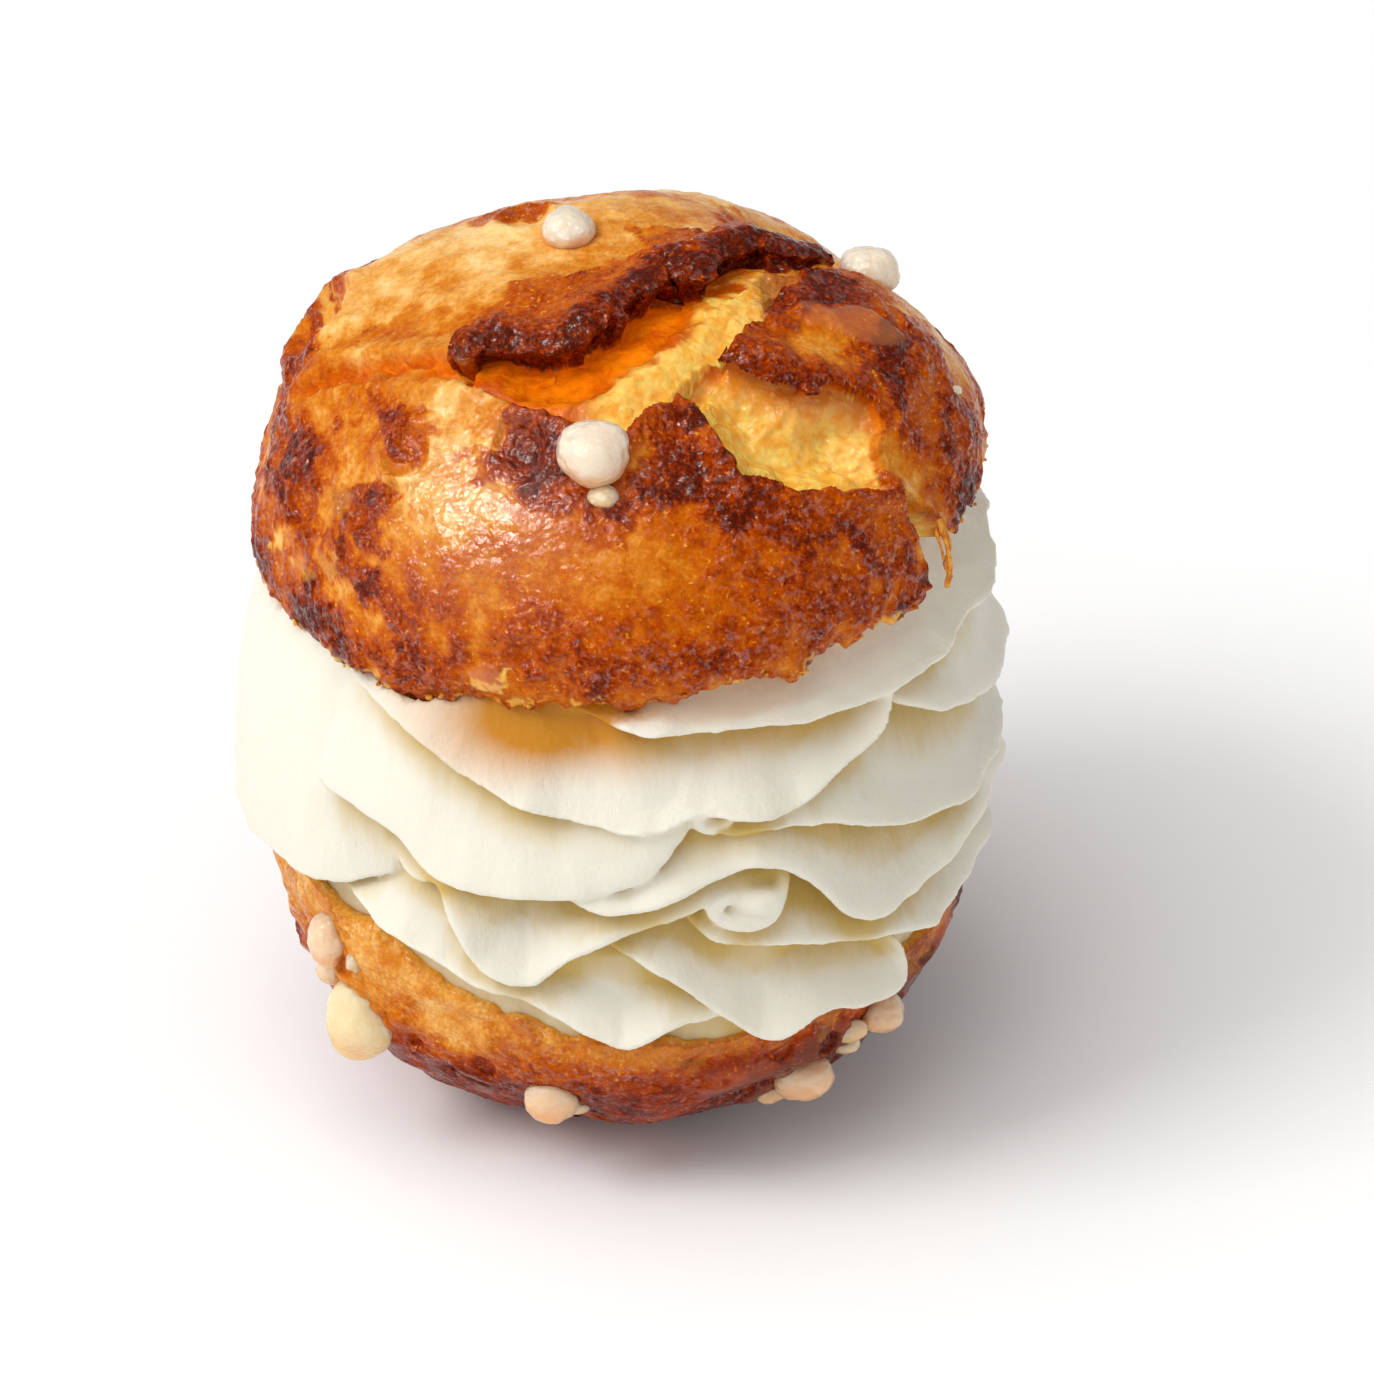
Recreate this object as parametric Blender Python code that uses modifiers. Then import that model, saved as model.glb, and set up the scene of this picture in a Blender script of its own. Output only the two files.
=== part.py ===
"""A cream puff: a choux bun cut in two, with piped whipped cream between its halves and sugar nibs baked on.

The scene is in metres with +Z up; the numbers below are in millimetres and degrees. The front is -Y. Angles round the
bun run from the front, positive towards +X. The origin is under the middle of the whole, on the surface it stands on.
"""

import bmesh
import bpy
import numpy as np
from mathutils import Euler, Matrix, Vector

MM = 0.001

# Driving dimensions.
GAP = 0.35  # air kept between touching pieces
BASE_WALL = [(0.0, 12.6), (1.0, 14.6), (2.5, 17.2), (4.5, 19.8), (8.0, 23.4), (12.0, 25.9), (16.0, 27.1), (20.0, 27.8),
             (27.0, 28.1)]  # height, radius at the front
BASE_SPREAD = 2.6  # how much wider the foot is at the back than at the front
BASE_RIM = [(-180, 20.0), (-110, 22.5), (-70, 24.8), (-45, 23.6), (-22, 20.0), (-5, 17.6), (22, 17.0), (50, 17.6),
            (65, 19.2), (85, 21.8), (120, 20.8), (180, 20.0)]  # angle, height of the torn edge
BASE_FLOOR = 14.6
CREAM_RADIUS = 30.0
CREAM_CORE_RADIUS = 25.0
CREAM_TOP = 49.0
CAP_AXES = (28.6, 28.3, 20.0)  # half-widths of the dome and its height above its widest level
CAP_CENTRE = (0.5, 0.5, 50.0)
CAP_TILT = (-2.0, -6.0)  # about X, then about Y: the front and the right side stand a little high
CAP_QUARTER = 38.8  # length over the dome from its pole to its widest level
CAP_RIM_ANGLE = 96.0  # how far down from the pole the crust reaches
CAP_TORN_SHORT = 8.5  # how much less it reaches on the right, where it is torn

# Mesh density.
CAP_GRID = (168, 56)
BASE_GRID = (96, 24)
CAP_FACES = 1700
BASE_FACES = 850
CREAM_FACES = 4300
CREAM_VOXEL = 0.45

# Outlines on the dome, as lengths in mm over the crust from its pole: x to the right, y away from the front.
FISSURE_LIP = [(-8.5, -9.9), (-6.6, -9.4), (-3.2, -10.6), (-0.6, -9.4), (2.2, -5.8), (4.6, -2.9), (7.4, -3.3),
               (9.6, 1.2), (15.6, 4.0)]
FISSURE_FLOOR = [(14.0, 0.6), (10.4, -0.8), (8.2, -6.2), (5.8, -10.4), (2.6, -13.2), (-1.2, -15.0), (-5.6, -14.2),
                 (-8.5, -11.4)]
WINDOW_LEDGE = [(7.2, -13.6), (9.4, -12.8), (13.6, -13.1), (16.4, -11.4), (20.2, -12.2)]
WINDOW_SILL = [(21.6, -17.2), (18.4, -20.6), (13.0, -21.8), (9.8, -20.6), (8.2, -18.4)]
LEFT_CRACK = [(-8.5, -10.6), (-12.6, -7.6), (-17.0, -5.6), (-21.5, -5.0)]
TEAR = [(22.6, -18.2), (25.6, -18.0), (30.5, -19.0), (36.0, -21.0), (35.0, -25.5), (29.0, -22.4), (24.6, -19.6)]

# Humps and hollows of the dome: x, y, radius, height.
CAP_LUMPS = [(-16.0, 6.0, 11.0, 1.9), (2.0, 9.0, 9.0, 1.0), (20.0, -2.0, 8.0, 0.8), (-6.0, -28.0, 12.0, 0.5),
             (14.5, 9.5, 4.5, -2.4), (24.0, 13.0, 9.0, -1.6), (37.0, -4.0, 14.0, -0.6)]

# The lower edge of each fold of cream: angle round the axis, height, reach.
# The rest of a row: length of the fold above its edge, how far it draws in there, how its flank curves, its flare.
CREAM_FOLDS = {
    "collar": ([(-8, 49.6, 24.0), (4, 48.4, 27.0), (26, 47.5, 28.4), (50, 47.2, 28.9), (75, 47.2, 28.9),
                (105, 46.8, 28.5), (140, 45.4, 28.4), (180, 43.6, 28.6), (220, 41.2, 29.2), (250, 40.4, 28.0)],
               5.0, 5.0, 0.8, 0.0),
    "spoon": ([(-56, 46.0, 25.5), (-40, 45.6, 28.0), (-27, 44.2, 29.2), (-13, 41.0, 30.0), (3, 39.5, 30.3),
               (12, 40.2, 30.2), (25, 39.5, 30.4), (34, 41.2, 30.2), (41, 43.4, 29.6), (45, 46.4, 28.4),
               (46, 49.0, 25.5)], 9.0, 4.6, 0.7, 0.8),
    "left_lobe": ([(-66, 37.5, 26.5), (-48, 36.2, 29.2), (-35, 35.3, 30.0), (-27, 33.4, 30.3), (-12, 32.9, 30.4),
                   (2, 34.6, 30.4), (8, 37.4, 30.0), (13, 41.0, 27.6)], 13.0, 4.6, 1.6, 0.7),
    "right_fan": ([(38, 47.0, 26.0), (46, 44.2, 28.8), (58, 41.3, 29.7), (68, 39.2, 30.0), (80, 37.4, 30.1),
                   (105, 37.0, 30.0), (135, 38.6, 29.4), (155, 41.0, 27.0)], 7.5, 3.4, 0.9, 0.8),
    "shelf": ([(5, 41.0, 26.8), (15, 38.3, 29.4), (27, 38.0, 30.2), (41, 35.2, 30.4), (56, 32.6, 30.4),
               (70, 31.0, 30.4), (88, 30.0, 30.2), (120, 31.5, 29.8), (150, 33.6, 28.2)], 9.0, 4.4, 0.8, 0.6),
    "apron": ([(-18, 34.6, 26.8), (-8, 32.6, 29.5), (0, 31.9, 30.1), (9, 33.3, 30.2), (20, 34.9, 30.1),
               (28, 33.0, 30.3), (36, 28.0, 30.5), (47, 26.4, 30.4), (60, 27.4, 30.3), (75, 28.6, 30.1),
               (100, 26.8, 29.8), (130, 27.4, 29.4), (150, 30.0, 27.5)], 9.0, 4.4, 1.1, 0.8),
    "drape": ([(-46, 33.4, 25.8), (-34, 30.8, 28.6), (-28, 31.4, 29.4), (-24, 28.3, 29.8), (-20, 24.9, 29.6),
               (-13, 24.2, 29.5), (-7, 27.4, 29.7), (3, 29.7, 29.8), (13, 31.9, 29.8), (21, 31.4, 29.4),
               (25, 34.0, 26.8)], 8.0, 4.0, 1.1, 0.8),
    "inner_fold": ([(6, 32.6, 26.4), (13, 29.2, 29.0), (20, 27.2, 29.5), (31, 26.0, 29.8), (42, 24.2, 29.8),
                    (55, 22.0, 29.6), (68, 21.8, 29.4), (82, 23.4, 29.2), (110, 22.8, 28.8), (140, 22.8, 28.6),
                    (160, 25.0, 26.5)], 8.0, 3.8, 1.0, 0.7),
    "front_petal": ([(-9, 30.0, 26.2), (1, 27.4, 28.6), (8, 24.5, 29.2), (15, 20.9, 29.3), (23, 17.9, 29.1),
                     (31, 19.2, 29.5), (41, 18.2, 29.6), (48, 18.6, 29.5), (47, 21.6, 28.8), (40, 25.4, 26.6)],
                    8.0, 3.4, 0.9, 0.8),
    "low_hem": ([(-54, 28.0, 26.8), (-42, 26.0, 28.6), (-33, 25.2, 28.9), (-22, 23.2, 29.1), (-12, 21.4, 29.1),
                 (-5, 20.0, 29.1), (1, 18.6, 28.9), (8, 20.0, 28.8), (16, 20.4, 28.2), (26, 23.0, 26.0)],
                8.0, 3.4, 0.9, 0.7),
    "left_cheek": ([(-130, 30.0, 26.0), (-108, 28.0, 29.4), (-88, 26.2, 30.5), (-70, 25.8, 30.5), (-56, 26.6, 30.1),
                    (-46, 28.0, 29.2), (-34, 31.4, 26.0)], 22.0, 4.6, 2.6, 0.2),
    "back_skirt": ([(90, 25.0, 26.5), (120, 23.6, 28.8), (150, 22.4, 29.0), (180, 23.8, 29.2), (210, 22.6, 29.2),
                    (240, 24.4, 29.2), (262, 25.6, 29.0), (285, 27.6, 27.0)], 8.0, 3.6, 0.9, 0.8),
    "back_ruffle": ([(120, 31.0, 27.2), (145, 29.6, 29.2), (175, 31.0, 29.6), (205, 29.2, 29.6), (235, 30.4, 29.5),
                     (258, 29.6, 29.2), (280, 32.0, 27.6)], 9.0, 4.2, 0.9, 0.8),
    "back_shelf": ([(140, 40.0, 27.0), (165, 37.4, 29.2), (195, 38.6, 29.4), (222, 36.4, 29.6), (250, 37.0, 29.4),
                    (275, 38.8, 27.4)], 8.0, 3.8, 0.8, 0.8),
}
FOLD_EDGE = 1.3  # thickness at the edge of a fold
FOLD_THICKENING = 0.45  # growth of that thickness along the fold
FOLD_STEP = 1.2  # spacing of sections along an edge

# Sugar nibs. On the cap: x and y on the dome. On the base: angle and height. Then half-sizes across, up, through.
CAP_NIBS = {
    "front": (-0.6, -19.6, (2.7, 3.3, 2.2)),
    "top": (-1.9, 2.7, (2.1, 2.2, 1.4)),
    "right": (19.4, 6.0, (2.8, 2.2, 1.5)),
    "back": (4.0, 27.0, (2.4, 2.0, 1.7)),
}
BASE_NIBS = {
    "left_drop": (-50, 13.2, (2.4, 3.9, 2.2)),
    "left_upper": (-53, 20.2, (2.2, 2.6, 1.3)),
    "front": (-13, 10.0, (2.2, 2.1, 1.8)),
    "right": (35, 9.4, (2.9, 2.0, 1.6)),
    "right_upper": (50, 13.2, (2.4, 1.8, 1.1)),
    "back_left": (-150, 7.4, (2.5, 2.0, 1.7)),
    "back_right": (128, 9.0, (2.2, 2.3, 1.7)),
}
NIB_SINK = 0.35  # share of a nib's thickness that is buried in the crust


# ---- Helpers ---------------------------------------------------------------------------------------------------------


def smoothstep(low, high, value):
    t = np.clip((value - low) / (high - low), 0.0, 1.0)
    return t * t * (3.0 - 2.0 * t)


def distance_to_line(points, line):
    """Shortest distance from each point to a line of straight pieces."""
    ends = np.asarray(line, float)
    nearest = np.full(len(points), np.inf)
    for a, b in zip(ends[:-1], ends[1:]):
        along = np.clip((points - a) @ (b - a) / ((b - a) @ (b - a)), 0.0, 1.0)
        nearest = np.minimum(nearest, np.linalg.norm(points - a - along[:, None] * (b - a), axis=1))
    return nearest


def inside_outline(points, outline):
    """True for each point that a closed outline holds."""
    corners = np.asarray(outline, float)
    held = np.zeros(len(points), bool)
    for a, b in zip(corners, np.roll(corners, -1, axis=0)):
        crosses = (a[1] > points[:, 1]) != (b[1] > points[:, 1])
        rise = np.where(b[1] == a[1], 1.0, b[1] - a[1])
        held ^= crosses & (points[:, 0] < a[0] + (points[:, 1] - a[1]) * (b[0] - a[0]) / rise)
    return held


def waves(angle, terms):
    """A sum of (waves round, height, phase in degrees) over an angle in degrees."""
    return sum(height * np.cos(np.radians(count * angle - phase)) for count, height, phase in terms)


def around(angle, radius, height):
    """Points at these angles from the front, radii and heights."""
    turn = np.radians(angle)
    return np.stack([radius * np.sin(turn), -radius * np.cos(turn), height + 0.0 * turn], axis=-1)


def curve_through(points, step):
    """Points about a step apart on a smooth curve through rows of (angle, height, reach)."""
    rows = np.asarray(points, float)
    rows = np.vstack([2 * rows[0] - rows[1], rows, 2 * rows[-1] - rows[-2]])
    found = []
    for p0, p1, p2, p3 in zip(rows[:-3], rows[1:-2], rows[2:-1], rows[3:]):
        span = np.linalg.norm((p2 - p1) * (np.radians(CREAM_RADIUS), 1.0, 1.0))
        for t in np.arange(0.0, 1.0, 1.0 / max(2, round(span / step))):
            found.append(0.5 * (2 * p1 + (p2 - p0) * t + (2 * p0 - 5 * p1 + 4 * p2 - p3) * t**2
                                + (3 * p1 - p0 - 3 * p2 + p3) * t**3))
    return np.array(found + [rows[-2]])


def loft(rings, start, end):
    """A closed mesh from rings of equally many points and a point past each end, in metres."""
    shape = bmesh.new()
    verts = [[shape.verts.new(Vector(p) * MM) for p in ring] for ring in rings]
    count = len(verts[0])
    for lower, upper in zip(verts[:-1], verts[1:]):
        for i in range(count):
            j = (i + 1) % count
            shape.faces.new((lower[i], lower[j], upper[j], upper[i]))
    for ring, tip, flipped in ((verts[0], start, True), (verts[-1], end, False)):
        middle = shape.verts.new(Vector(tip) * MM)
        for i in range(count):
            pair = (ring[i], ring[(i + 1) % count])
            shape.faces.new((*(pair[::-1] if flipped else pair), middle))
    bmesh.ops.recalc_face_normals(shape, faces=shape.faces)
    mesh = bpy.data.meshes.new("loft")
    shape.to_mesh(mesh)
    shape.free()
    return mesh


def material(name, colour, roughness):
    made = bpy.data.materials.new(name)
    made.use_nodes = True
    shader = made.node_tree.nodes["Principled BSDF"]
    shader.inputs["Base Color"].default_value = (*colour, 1.0)
    shader.inputs["Roughness"].default_value = roughness
    shader.inputs["Metallic"].default_value = 0.0
    return made


def place(name, mesh, collection, look=None):
    obj = bpy.data.objects.new(name, mesh)
    collection.objects.link(obj)
    if look:
        mesh.materials.clear()
        mesh.materials.append(look)
    return obj


def as_cutter(obj):
    obj.hide_render = True
    obj.display_type = "WIRE"
    return obj


def cut(obj, cutter):
    """Takes a cutter's shape out of an object for good, and keeps the largest piece that is left."""
    modifier = obj.modifiers.new("cut", "BOOLEAN")
    modifier.operation = "DIFFERENCE"
    modifier.solver = "EXACT"
    modifier.object = cutter
    bake(obj)
    keep_largest_piece(obj.data)


def bake(obj):
    """Turns an object's modifiers into its mesh."""
    graph = bpy.context.evaluated_depsgraph_get()
    mesh = bpy.data.meshes.new_from_object(obj.evaluated_get(graph))
    obj.modifiers.clear()
    old, obj.data = obj.data, mesh
    bpy.data.meshes.remove(old)


def thin_out(obj, faces):
    """Merges faces where the surface is plainest, until about this many triangles are left."""
    obj.data.calc_loop_triangles()
    modifier = obj.modifiers.new("thin out", "DECIMATE")
    modifier.ratio = min(1.0, faces / len(obj.data.loop_triangles))
    bake(obj)


def keep_largest_piece(mesh):
    shape = bmesh.new()
    shape.from_mesh(mesh)
    left = set(shape.verts)
    pieces = []
    while left:
        piece, edge = set(), [left.pop()]
        while edge:
            vert = edge.pop()
            piece.add(vert)
            near = {e.other_vert(vert) for e in vert.link_edges} & left
            left -= near
            edge.extend(near)
        pieces.append(piece)
    largest = max(pieces, key=len)
    bmesh.ops.delete(shape, geom=[v for v in shape.verts if v not in largest], context="VERTS")
    shape.to_mesh(mesh)
    shape.free()


# ---- The cap ---------------------------------------------------------------------------------------------------------


def cap_matrix():
    tilt = Euler((np.radians(CAP_TILT[0]), np.radians(CAP_TILT[1]), 0.0), "XYZ")
    return Matrix.Translation(Vector(CAP_CENTRE) * MM) @ tilt.to_matrix().to_4x4()


def cap_relief(points):
    """How far the crust stands out from the plain dome: lumps, the deep fissure, the window in the crust, cracks."""
    height = np.zeros(len(points))
    for x, y, radius, lift in CAP_LUMPS:
        height += lift * np.exp(-((points[:, 0] - x) ** 2 + (points[:, 1] - y) ** 2) / radius**2)

    held = inside_outline(points, FISSURE_LIP + FISSURE_FLOOR)
    from_lip = distance_to_line(points, FISSURE_LIP)
    from_floor = distance_to_line(points, FISSURE_FLOOR)
    height -= 3.0 * held * smoothstep(0.0, 1.8, from_lip) * smoothstep(0.0, 5.0, from_floor)
    height += 0.9 * ~held * np.exp(-((from_lip - 2.0) / 2.4) ** 2)

    held = inside_outline(points, WINDOW_LEDGE + WINDOW_SILL)
    from_ledge = distance_to_line(points, WINDOW_LEDGE)
    from_sill = distance_to_line(points, WINDOW_SILL)
    height -= 2.0 * held * smoothstep(0.0, 1.3, np.minimum(from_ledge, from_sill))
    height += 0.8 * ~held * np.exp(-(np.minimum(from_ledge, from_sill) / 2.2) ** 2)

    height -= 1.0 * np.exp(-(distance_to_line(points, LEFT_CRACK) / 1.1) ** 2)
    height -= 2.4 * inside_outline(points, TEAR) * smoothstep(0.0, 1.0, distance_to_line(points, TEAR + TEAR[:1]))
    return height


def cap_point(angle, fall, outset=0.0):
    """Points of the crust at these angles round the cap and falls from its pole, in the cap's own frame."""
    angle, fall = np.broadcast_arrays(np.asarray(angle, float), np.asarray(fall, float))
    length = fall / 90.0 * CAP_QUARTER
    chart = np.stack([length * np.sin(np.radians(angle)), -length * np.cos(np.radians(angle))], axis=-1)
    out = around(angle, np.sin(np.radians(fall)), np.cos(np.radians(fall)))
    normal = out / CAP_AXES
    normal /= np.linalg.norm(normal, axis=-1, keepdims=True)
    lift = cap_relief(chart.reshape(-1, 2)).reshape(angle.shape) + outset
    return out * CAP_AXES + normal * lift[..., None]


def cap_rim(angle):
    """How far down the torn edge reaches at each angle; it is torn short on the right."""
    teeth = waves(angle, [(2, 0.9, -40), (9, 0.6, 30), (17, 0.9, 100), (29, 0.9, 10)])
    short = CAP_TORN_SHORT * smoothstep(55.0, 62.0, angle) * (1.0 - smoothstep(95.0, 135.0, angle))
    return CAP_RIM_ANGLE + teeth - short


def cap_mesh(outset=0.0):
    segments, rows = CAP_GRID
    angles = np.arange(segments) * 360.0 / segments
    angles = np.where(angles > 180.0, angles - 360.0, angles)
    rim = cap_rim(angles)
    rings = [cap_point(angles, rim * share, outset) for share in np.linspace(0.0, 1.0, rows + 1)[1:]]
    under = [rings[-1] * (share, share, 1.0) - (0.0, 0.0, 0.5 + outset) for share in (0.95, 0.6)]
    bottom = (0.0, 0.0, under[-1][:, 2].mean())
    pole = cap_point(0.0, 0.0, outset)
    return loft([*rings, *under], pole, bottom)


# ---- The base --------------------------------------------------------------------------------------------------------


def base_radius(angle, height):
    """The outer wall of the base: a rounded bowl with a small foot, a little lumpy."""
    heights, radii = np.transpose(BASE_WALL)
    wall = np.interp(height, heights, radii)
    away = 1.0 - smoothstep(0.0, 14.0, height)
    spread = BASE_SPREAD * away * 0.5 * (1.0 - np.cos(np.radians(angle)))
    swell = smoothstep(0.0, 8.0, height) * (1.0 - 0.6 * smoothstep(10.0, 17.0, height))
    lumps = waves(angle, [(5, 0.35, 80), (8, 0.3, 10), (13, 0.25, 55)]) * swell
    return wall + spread + lumps


def base_rim(angle):
    angles, heights = np.transpose(BASE_RIM)
    return np.interp(angle, angles, heights) + waves(angle, [(9, 0.35, 20), (16, 0.3, 60)])


def base_mesh(outset=0.0):
    segments, rows = BASE_GRID
    angles = np.arange(segments) * 360.0 / segments
    angles = np.where(angles > 180.0, angles - 360.0, angles)
    rim = base_rim(angles)
    rings = []
    for share in np.linspace(0.0, 1.0, rows + 1) ** 1.4:
        lift = outset * (2.0 * share - 1.0)
        rings.append(around(angles, base_radius(angles, rim * share) + outset, rim * share + lift))
    lip = base_radius(angles, rim)
    rings.append(around(angles, lip - 1.5 - outset, rim + 0.1 + outset))
    rings.append(around(angles, lip - 3.4 - outset, 0.5 * (rim + BASE_FLOOR) + outset))
    rings.append(around(angles, lip - 5.5 - outset, np.full(segments, BASE_FLOOR + outset)))
    return loft(rings, (0.0, 0.0, -outset), (0.0, 0.0, BASE_FLOOR + outset))


# ---- The cream -------------------------------------------------------------------------------------------------------


def fold_mesh(edge, length, draw, curve, flare):
    """One fold of cream: a tapered band swept along its lower edge, with its root inside the core."""
    rows = curve_through(edge, FOLD_STEP)
    flat = rows[:, :2] * (np.radians(CREAM_RADIUS), 1.0)
    tangent = np.gradient(flat, axis=0)
    tangent /= np.linalg.norm(tangent, axis=1, keepdims=True)
    body = np.stack([-tangent[:, 1], tangent[:, 0]], axis=1) + (0.0, 1.0)
    body /= np.linalg.norm(body, axis=1, keepdims=True)
    along = np.linspace(0.0, 1.0, 10) ** 1.3
    outer = np.stack([along * length, -draw * along**curve - flare * smoothstep(0.0, 0.35, along)], axis=1)
    inner = outer - np.stack([0.0 * along, FOLD_EDGE + FOLD_THICKENING * along * length], axis=1)
    section = np.vstack([outer[::-1], inner])
    sections = []
    for (angle, height, reach), (sideways, up) in zip(rows, body):
        turn = angle + np.degrees(section[:, 0] * sideways / CREAM_RADIUS)
        sections.append(around(turn, reach + section[:, 1], height + section[:, 0] * up))
    return loft(sections, sections[0].mean(axis=0), sections[-1].mean(axis=0))


def core_mesh():
    """The body of the cream behind the folds, from the base's floor to the cap."""
    profile = [(21.0, BASE_FLOOR - 1.0), (CREAM_CORE_RADIUS + 1.6, BASE_FLOOR + 1.5), (CREAM_CORE_RADIUS + 2.0, 26.0),
               (CREAM_CORE_RADIUS + 0.8, 30.0),
               (CREAM_CORE_RADIUS + 0.6, 38.0), (CREAM_CORE_RADIUS, 45.0), (CREAM_CORE_RADIUS - 1.0, CREAM_TOP + 1.5)]
    angles = np.arange(48) * 360.0 / 48
    rings = [around(angles, np.full(48, radius), np.full(48, height)) for radius, height in profile]
    return loft(rings, (0.0, 0.0, profile[0][1]), (0.0, 0.0, profile[-1][1]))


def cream(collection, look, cutters):
    shape = bmesh.new()
    for mesh in [core_mesh()] + [fold_mesh(*fold) for fold in CREAM_FOLDS.values()]:
        shape.from_mesh(mesh)
    mesh = bpy.data.meshes.new("cream_filling")
    shape.to_mesh(mesh)
    shape.free()
    obj = place("cream_filling", mesh, collection, look)
    remesh = obj.modifiers.new("one skin", "REMESH")
    remesh.mode = "VOXEL"
    remesh.voxel_size = CREAM_VOXEL * MM
    soften = obj.modifiers.new("soften", "SMOOTH")
    soften.factor = 0.4
    soften.iterations = 2
    bake(obj)
    thin_out(obj, CREAM_FACES)
    for cutter in cutters:
        cut(obj, cutter)
    return obj


# ---- The sugar nibs --------------------------------------------------------------------------------------------------


def nib_mesh(halves, outset=0.0):
    """A rounded, slightly lumpy grain; halves are its half-sizes across, up and through."""
    shape = bmesh.new()
    bmesh.ops.create_icosphere(shape, subdivisions=2, radius=1.0)
    for vert in shape.verts:
        p = vert.co
        lump = 1.0 + 0.08 * np.sin(4.0 * p.x + 2.0 * p.z) + 0.06 * np.cos(5.0 * p.y - p.x)
        vert.co = Vector([c * (half + outset) * lump for c, half in zip(p, halves)]) * MM
    mesh = bpy.data.meshes.new("nib")
    shape.to_mesh(mesh)
    shape.free()
    return mesh


def facing(outward, upward=Vector((0.0, 0.0, 1.0))):
    """A turn that sends a nib's third axis outward and its second as near upward as it can."""
    third = outward.normalized()
    first = upward.cross(third).normalized()
    return Matrix((first, third.cross(first), third)).transposed().to_4x4()


def cap_nib_frame(x, y, halves):
    angle = np.degrees(np.arctan2(x, -y))
    fall = np.hypot(x, y) / CAP_QUARTER * 90.0
    point = Vector(cap_point(angle, fall))
    outward = Vector([c / half**2 for c, half in zip(point, CAP_AXES)]).normalized()
    centre = point + outward * halves[2] * (1.0 - 2.0 * NIB_SINK)
    return cap_matrix() @ Matrix.Translation(centre * MM) @ facing(outward, Vector((0.0, 1.0, 0.5)))


def base_nib_frame(angle, height, halves):
    radius = float(base_radius(np.array([angle]), np.array([height]))[0])
    outward = Vector(around(angle, 1.0, -0.35)).normalized()
    centre = Vector(around(angle, radius, height)) + outward * halves[2] * (1.0 - 2.0 * NIB_SINK)
    return Matrix.Translation(centre * MM) @ facing(outward)


def nibs(spots, frame_of, prefix, crust, collection, helpers, look):
    """A nib at each spot, in a socket cut in the crust with a gap all round."""
    for label, (across, up, halves) in spots.items():
        frame = frame_of(across, up, halves)
        nib = place(f"{prefix}_{label}", nib_mesh(halves), collection, look)
        nib.matrix_world = frame
        socket = as_cutter(place(f"socket_{prefix}_{label}", nib_mesh(halves, GAP), helpers))
        socket.matrix_world = frame
        bpy.context.view_layer.update()
        cut(crust, socket)


# ---- The whole -------------------------------------------------------------------------------------------------------


def clear_scene():
    for obj in list(bpy.data.objects):
        bpy.data.objects.remove(obj, do_unlink=True)


def stand_in_the_middle(puff, helpers):
    """Moves everything so that the middle of the whole is over the origin."""
    bpy.context.view_layer.update()
    corners = np.array([obj.matrix_world @ v.co for obj in puff.objects for v in obj.data.vertices])
    middle = 0.5 * (corners.min(axis=0) + corners.max(axis=0))
    for obj in [*puff.objects, *helpers.objects]:
        obj.matrix_world = Matrix.Translation((-middle[0], -middle[1], -corners[:, 2].min())) @ obj.matrix_world


def main():
    clear_scene()
    scene_root = bpy.context.scene.collection
    puff = bpy.data.collections.new("cream_puff")
    helpers = bpy.data.collections.new("cutters")
    scene_root.children.link(puff)
    scene_root.children.link(helpers)
    crust_look = material("choux_crust", (0.56, 0.23, 0.05), 0.4)
    cream_look = material("whipped_cream", (0.91, 0.87, 0.74), 0.5)
    sugar_look = material("pearl_sugar", (0.86, 0.70, 0.50), 0.35)

    cap = place("choux_cap", cap_mesh(), puff, crust_look)
    cap_room = as_cutter(place("cap_room", cap_mesh(GAP), helpers))
    for obj in (cap, cap_room):
        obj.matrix_world = cap_matrix()
    base = place("choux_base", base_mesh(), puff, crust_look)
    base_room = as_cutter(place("base_room", base_mesh(GAP), helpers))
    for obj, faces in ((cap, CAP_FACES), (cap_room, CAP_FACES), (base, BASE_FACES), (base_room, BASE_FACES)):
        thin_out(obj, faces)
    bpy.context.view_layer.update()

    filling = cream(puff, cream_look, [cap_room, base_room])
    nibs(CAP_NIBS, cap_nib_frame, "sugar_cap", cap, puff, helpers, sugar_look)
    nibs(BASE_NIBS, base_nib_frame, "sugar_base", base, puff, helpers, sugar_look)
    stand_in_the_middle(puff, helpers)
    for obj in puff.objects:
        obj.data.shade_smooth()


main()
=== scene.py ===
"""A cream puff: browned choux halves, ruffled whipped cream between them and half-melted sugar nibs.

The surfaces are made in the puff's own millimetres (front -Y, up +Z, angles from the front towards +X) and moved onto
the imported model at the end.
"""

import bmesh
import bpy
import numpy as np
from mathutils import Euler, Matrix, Vector


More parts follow.
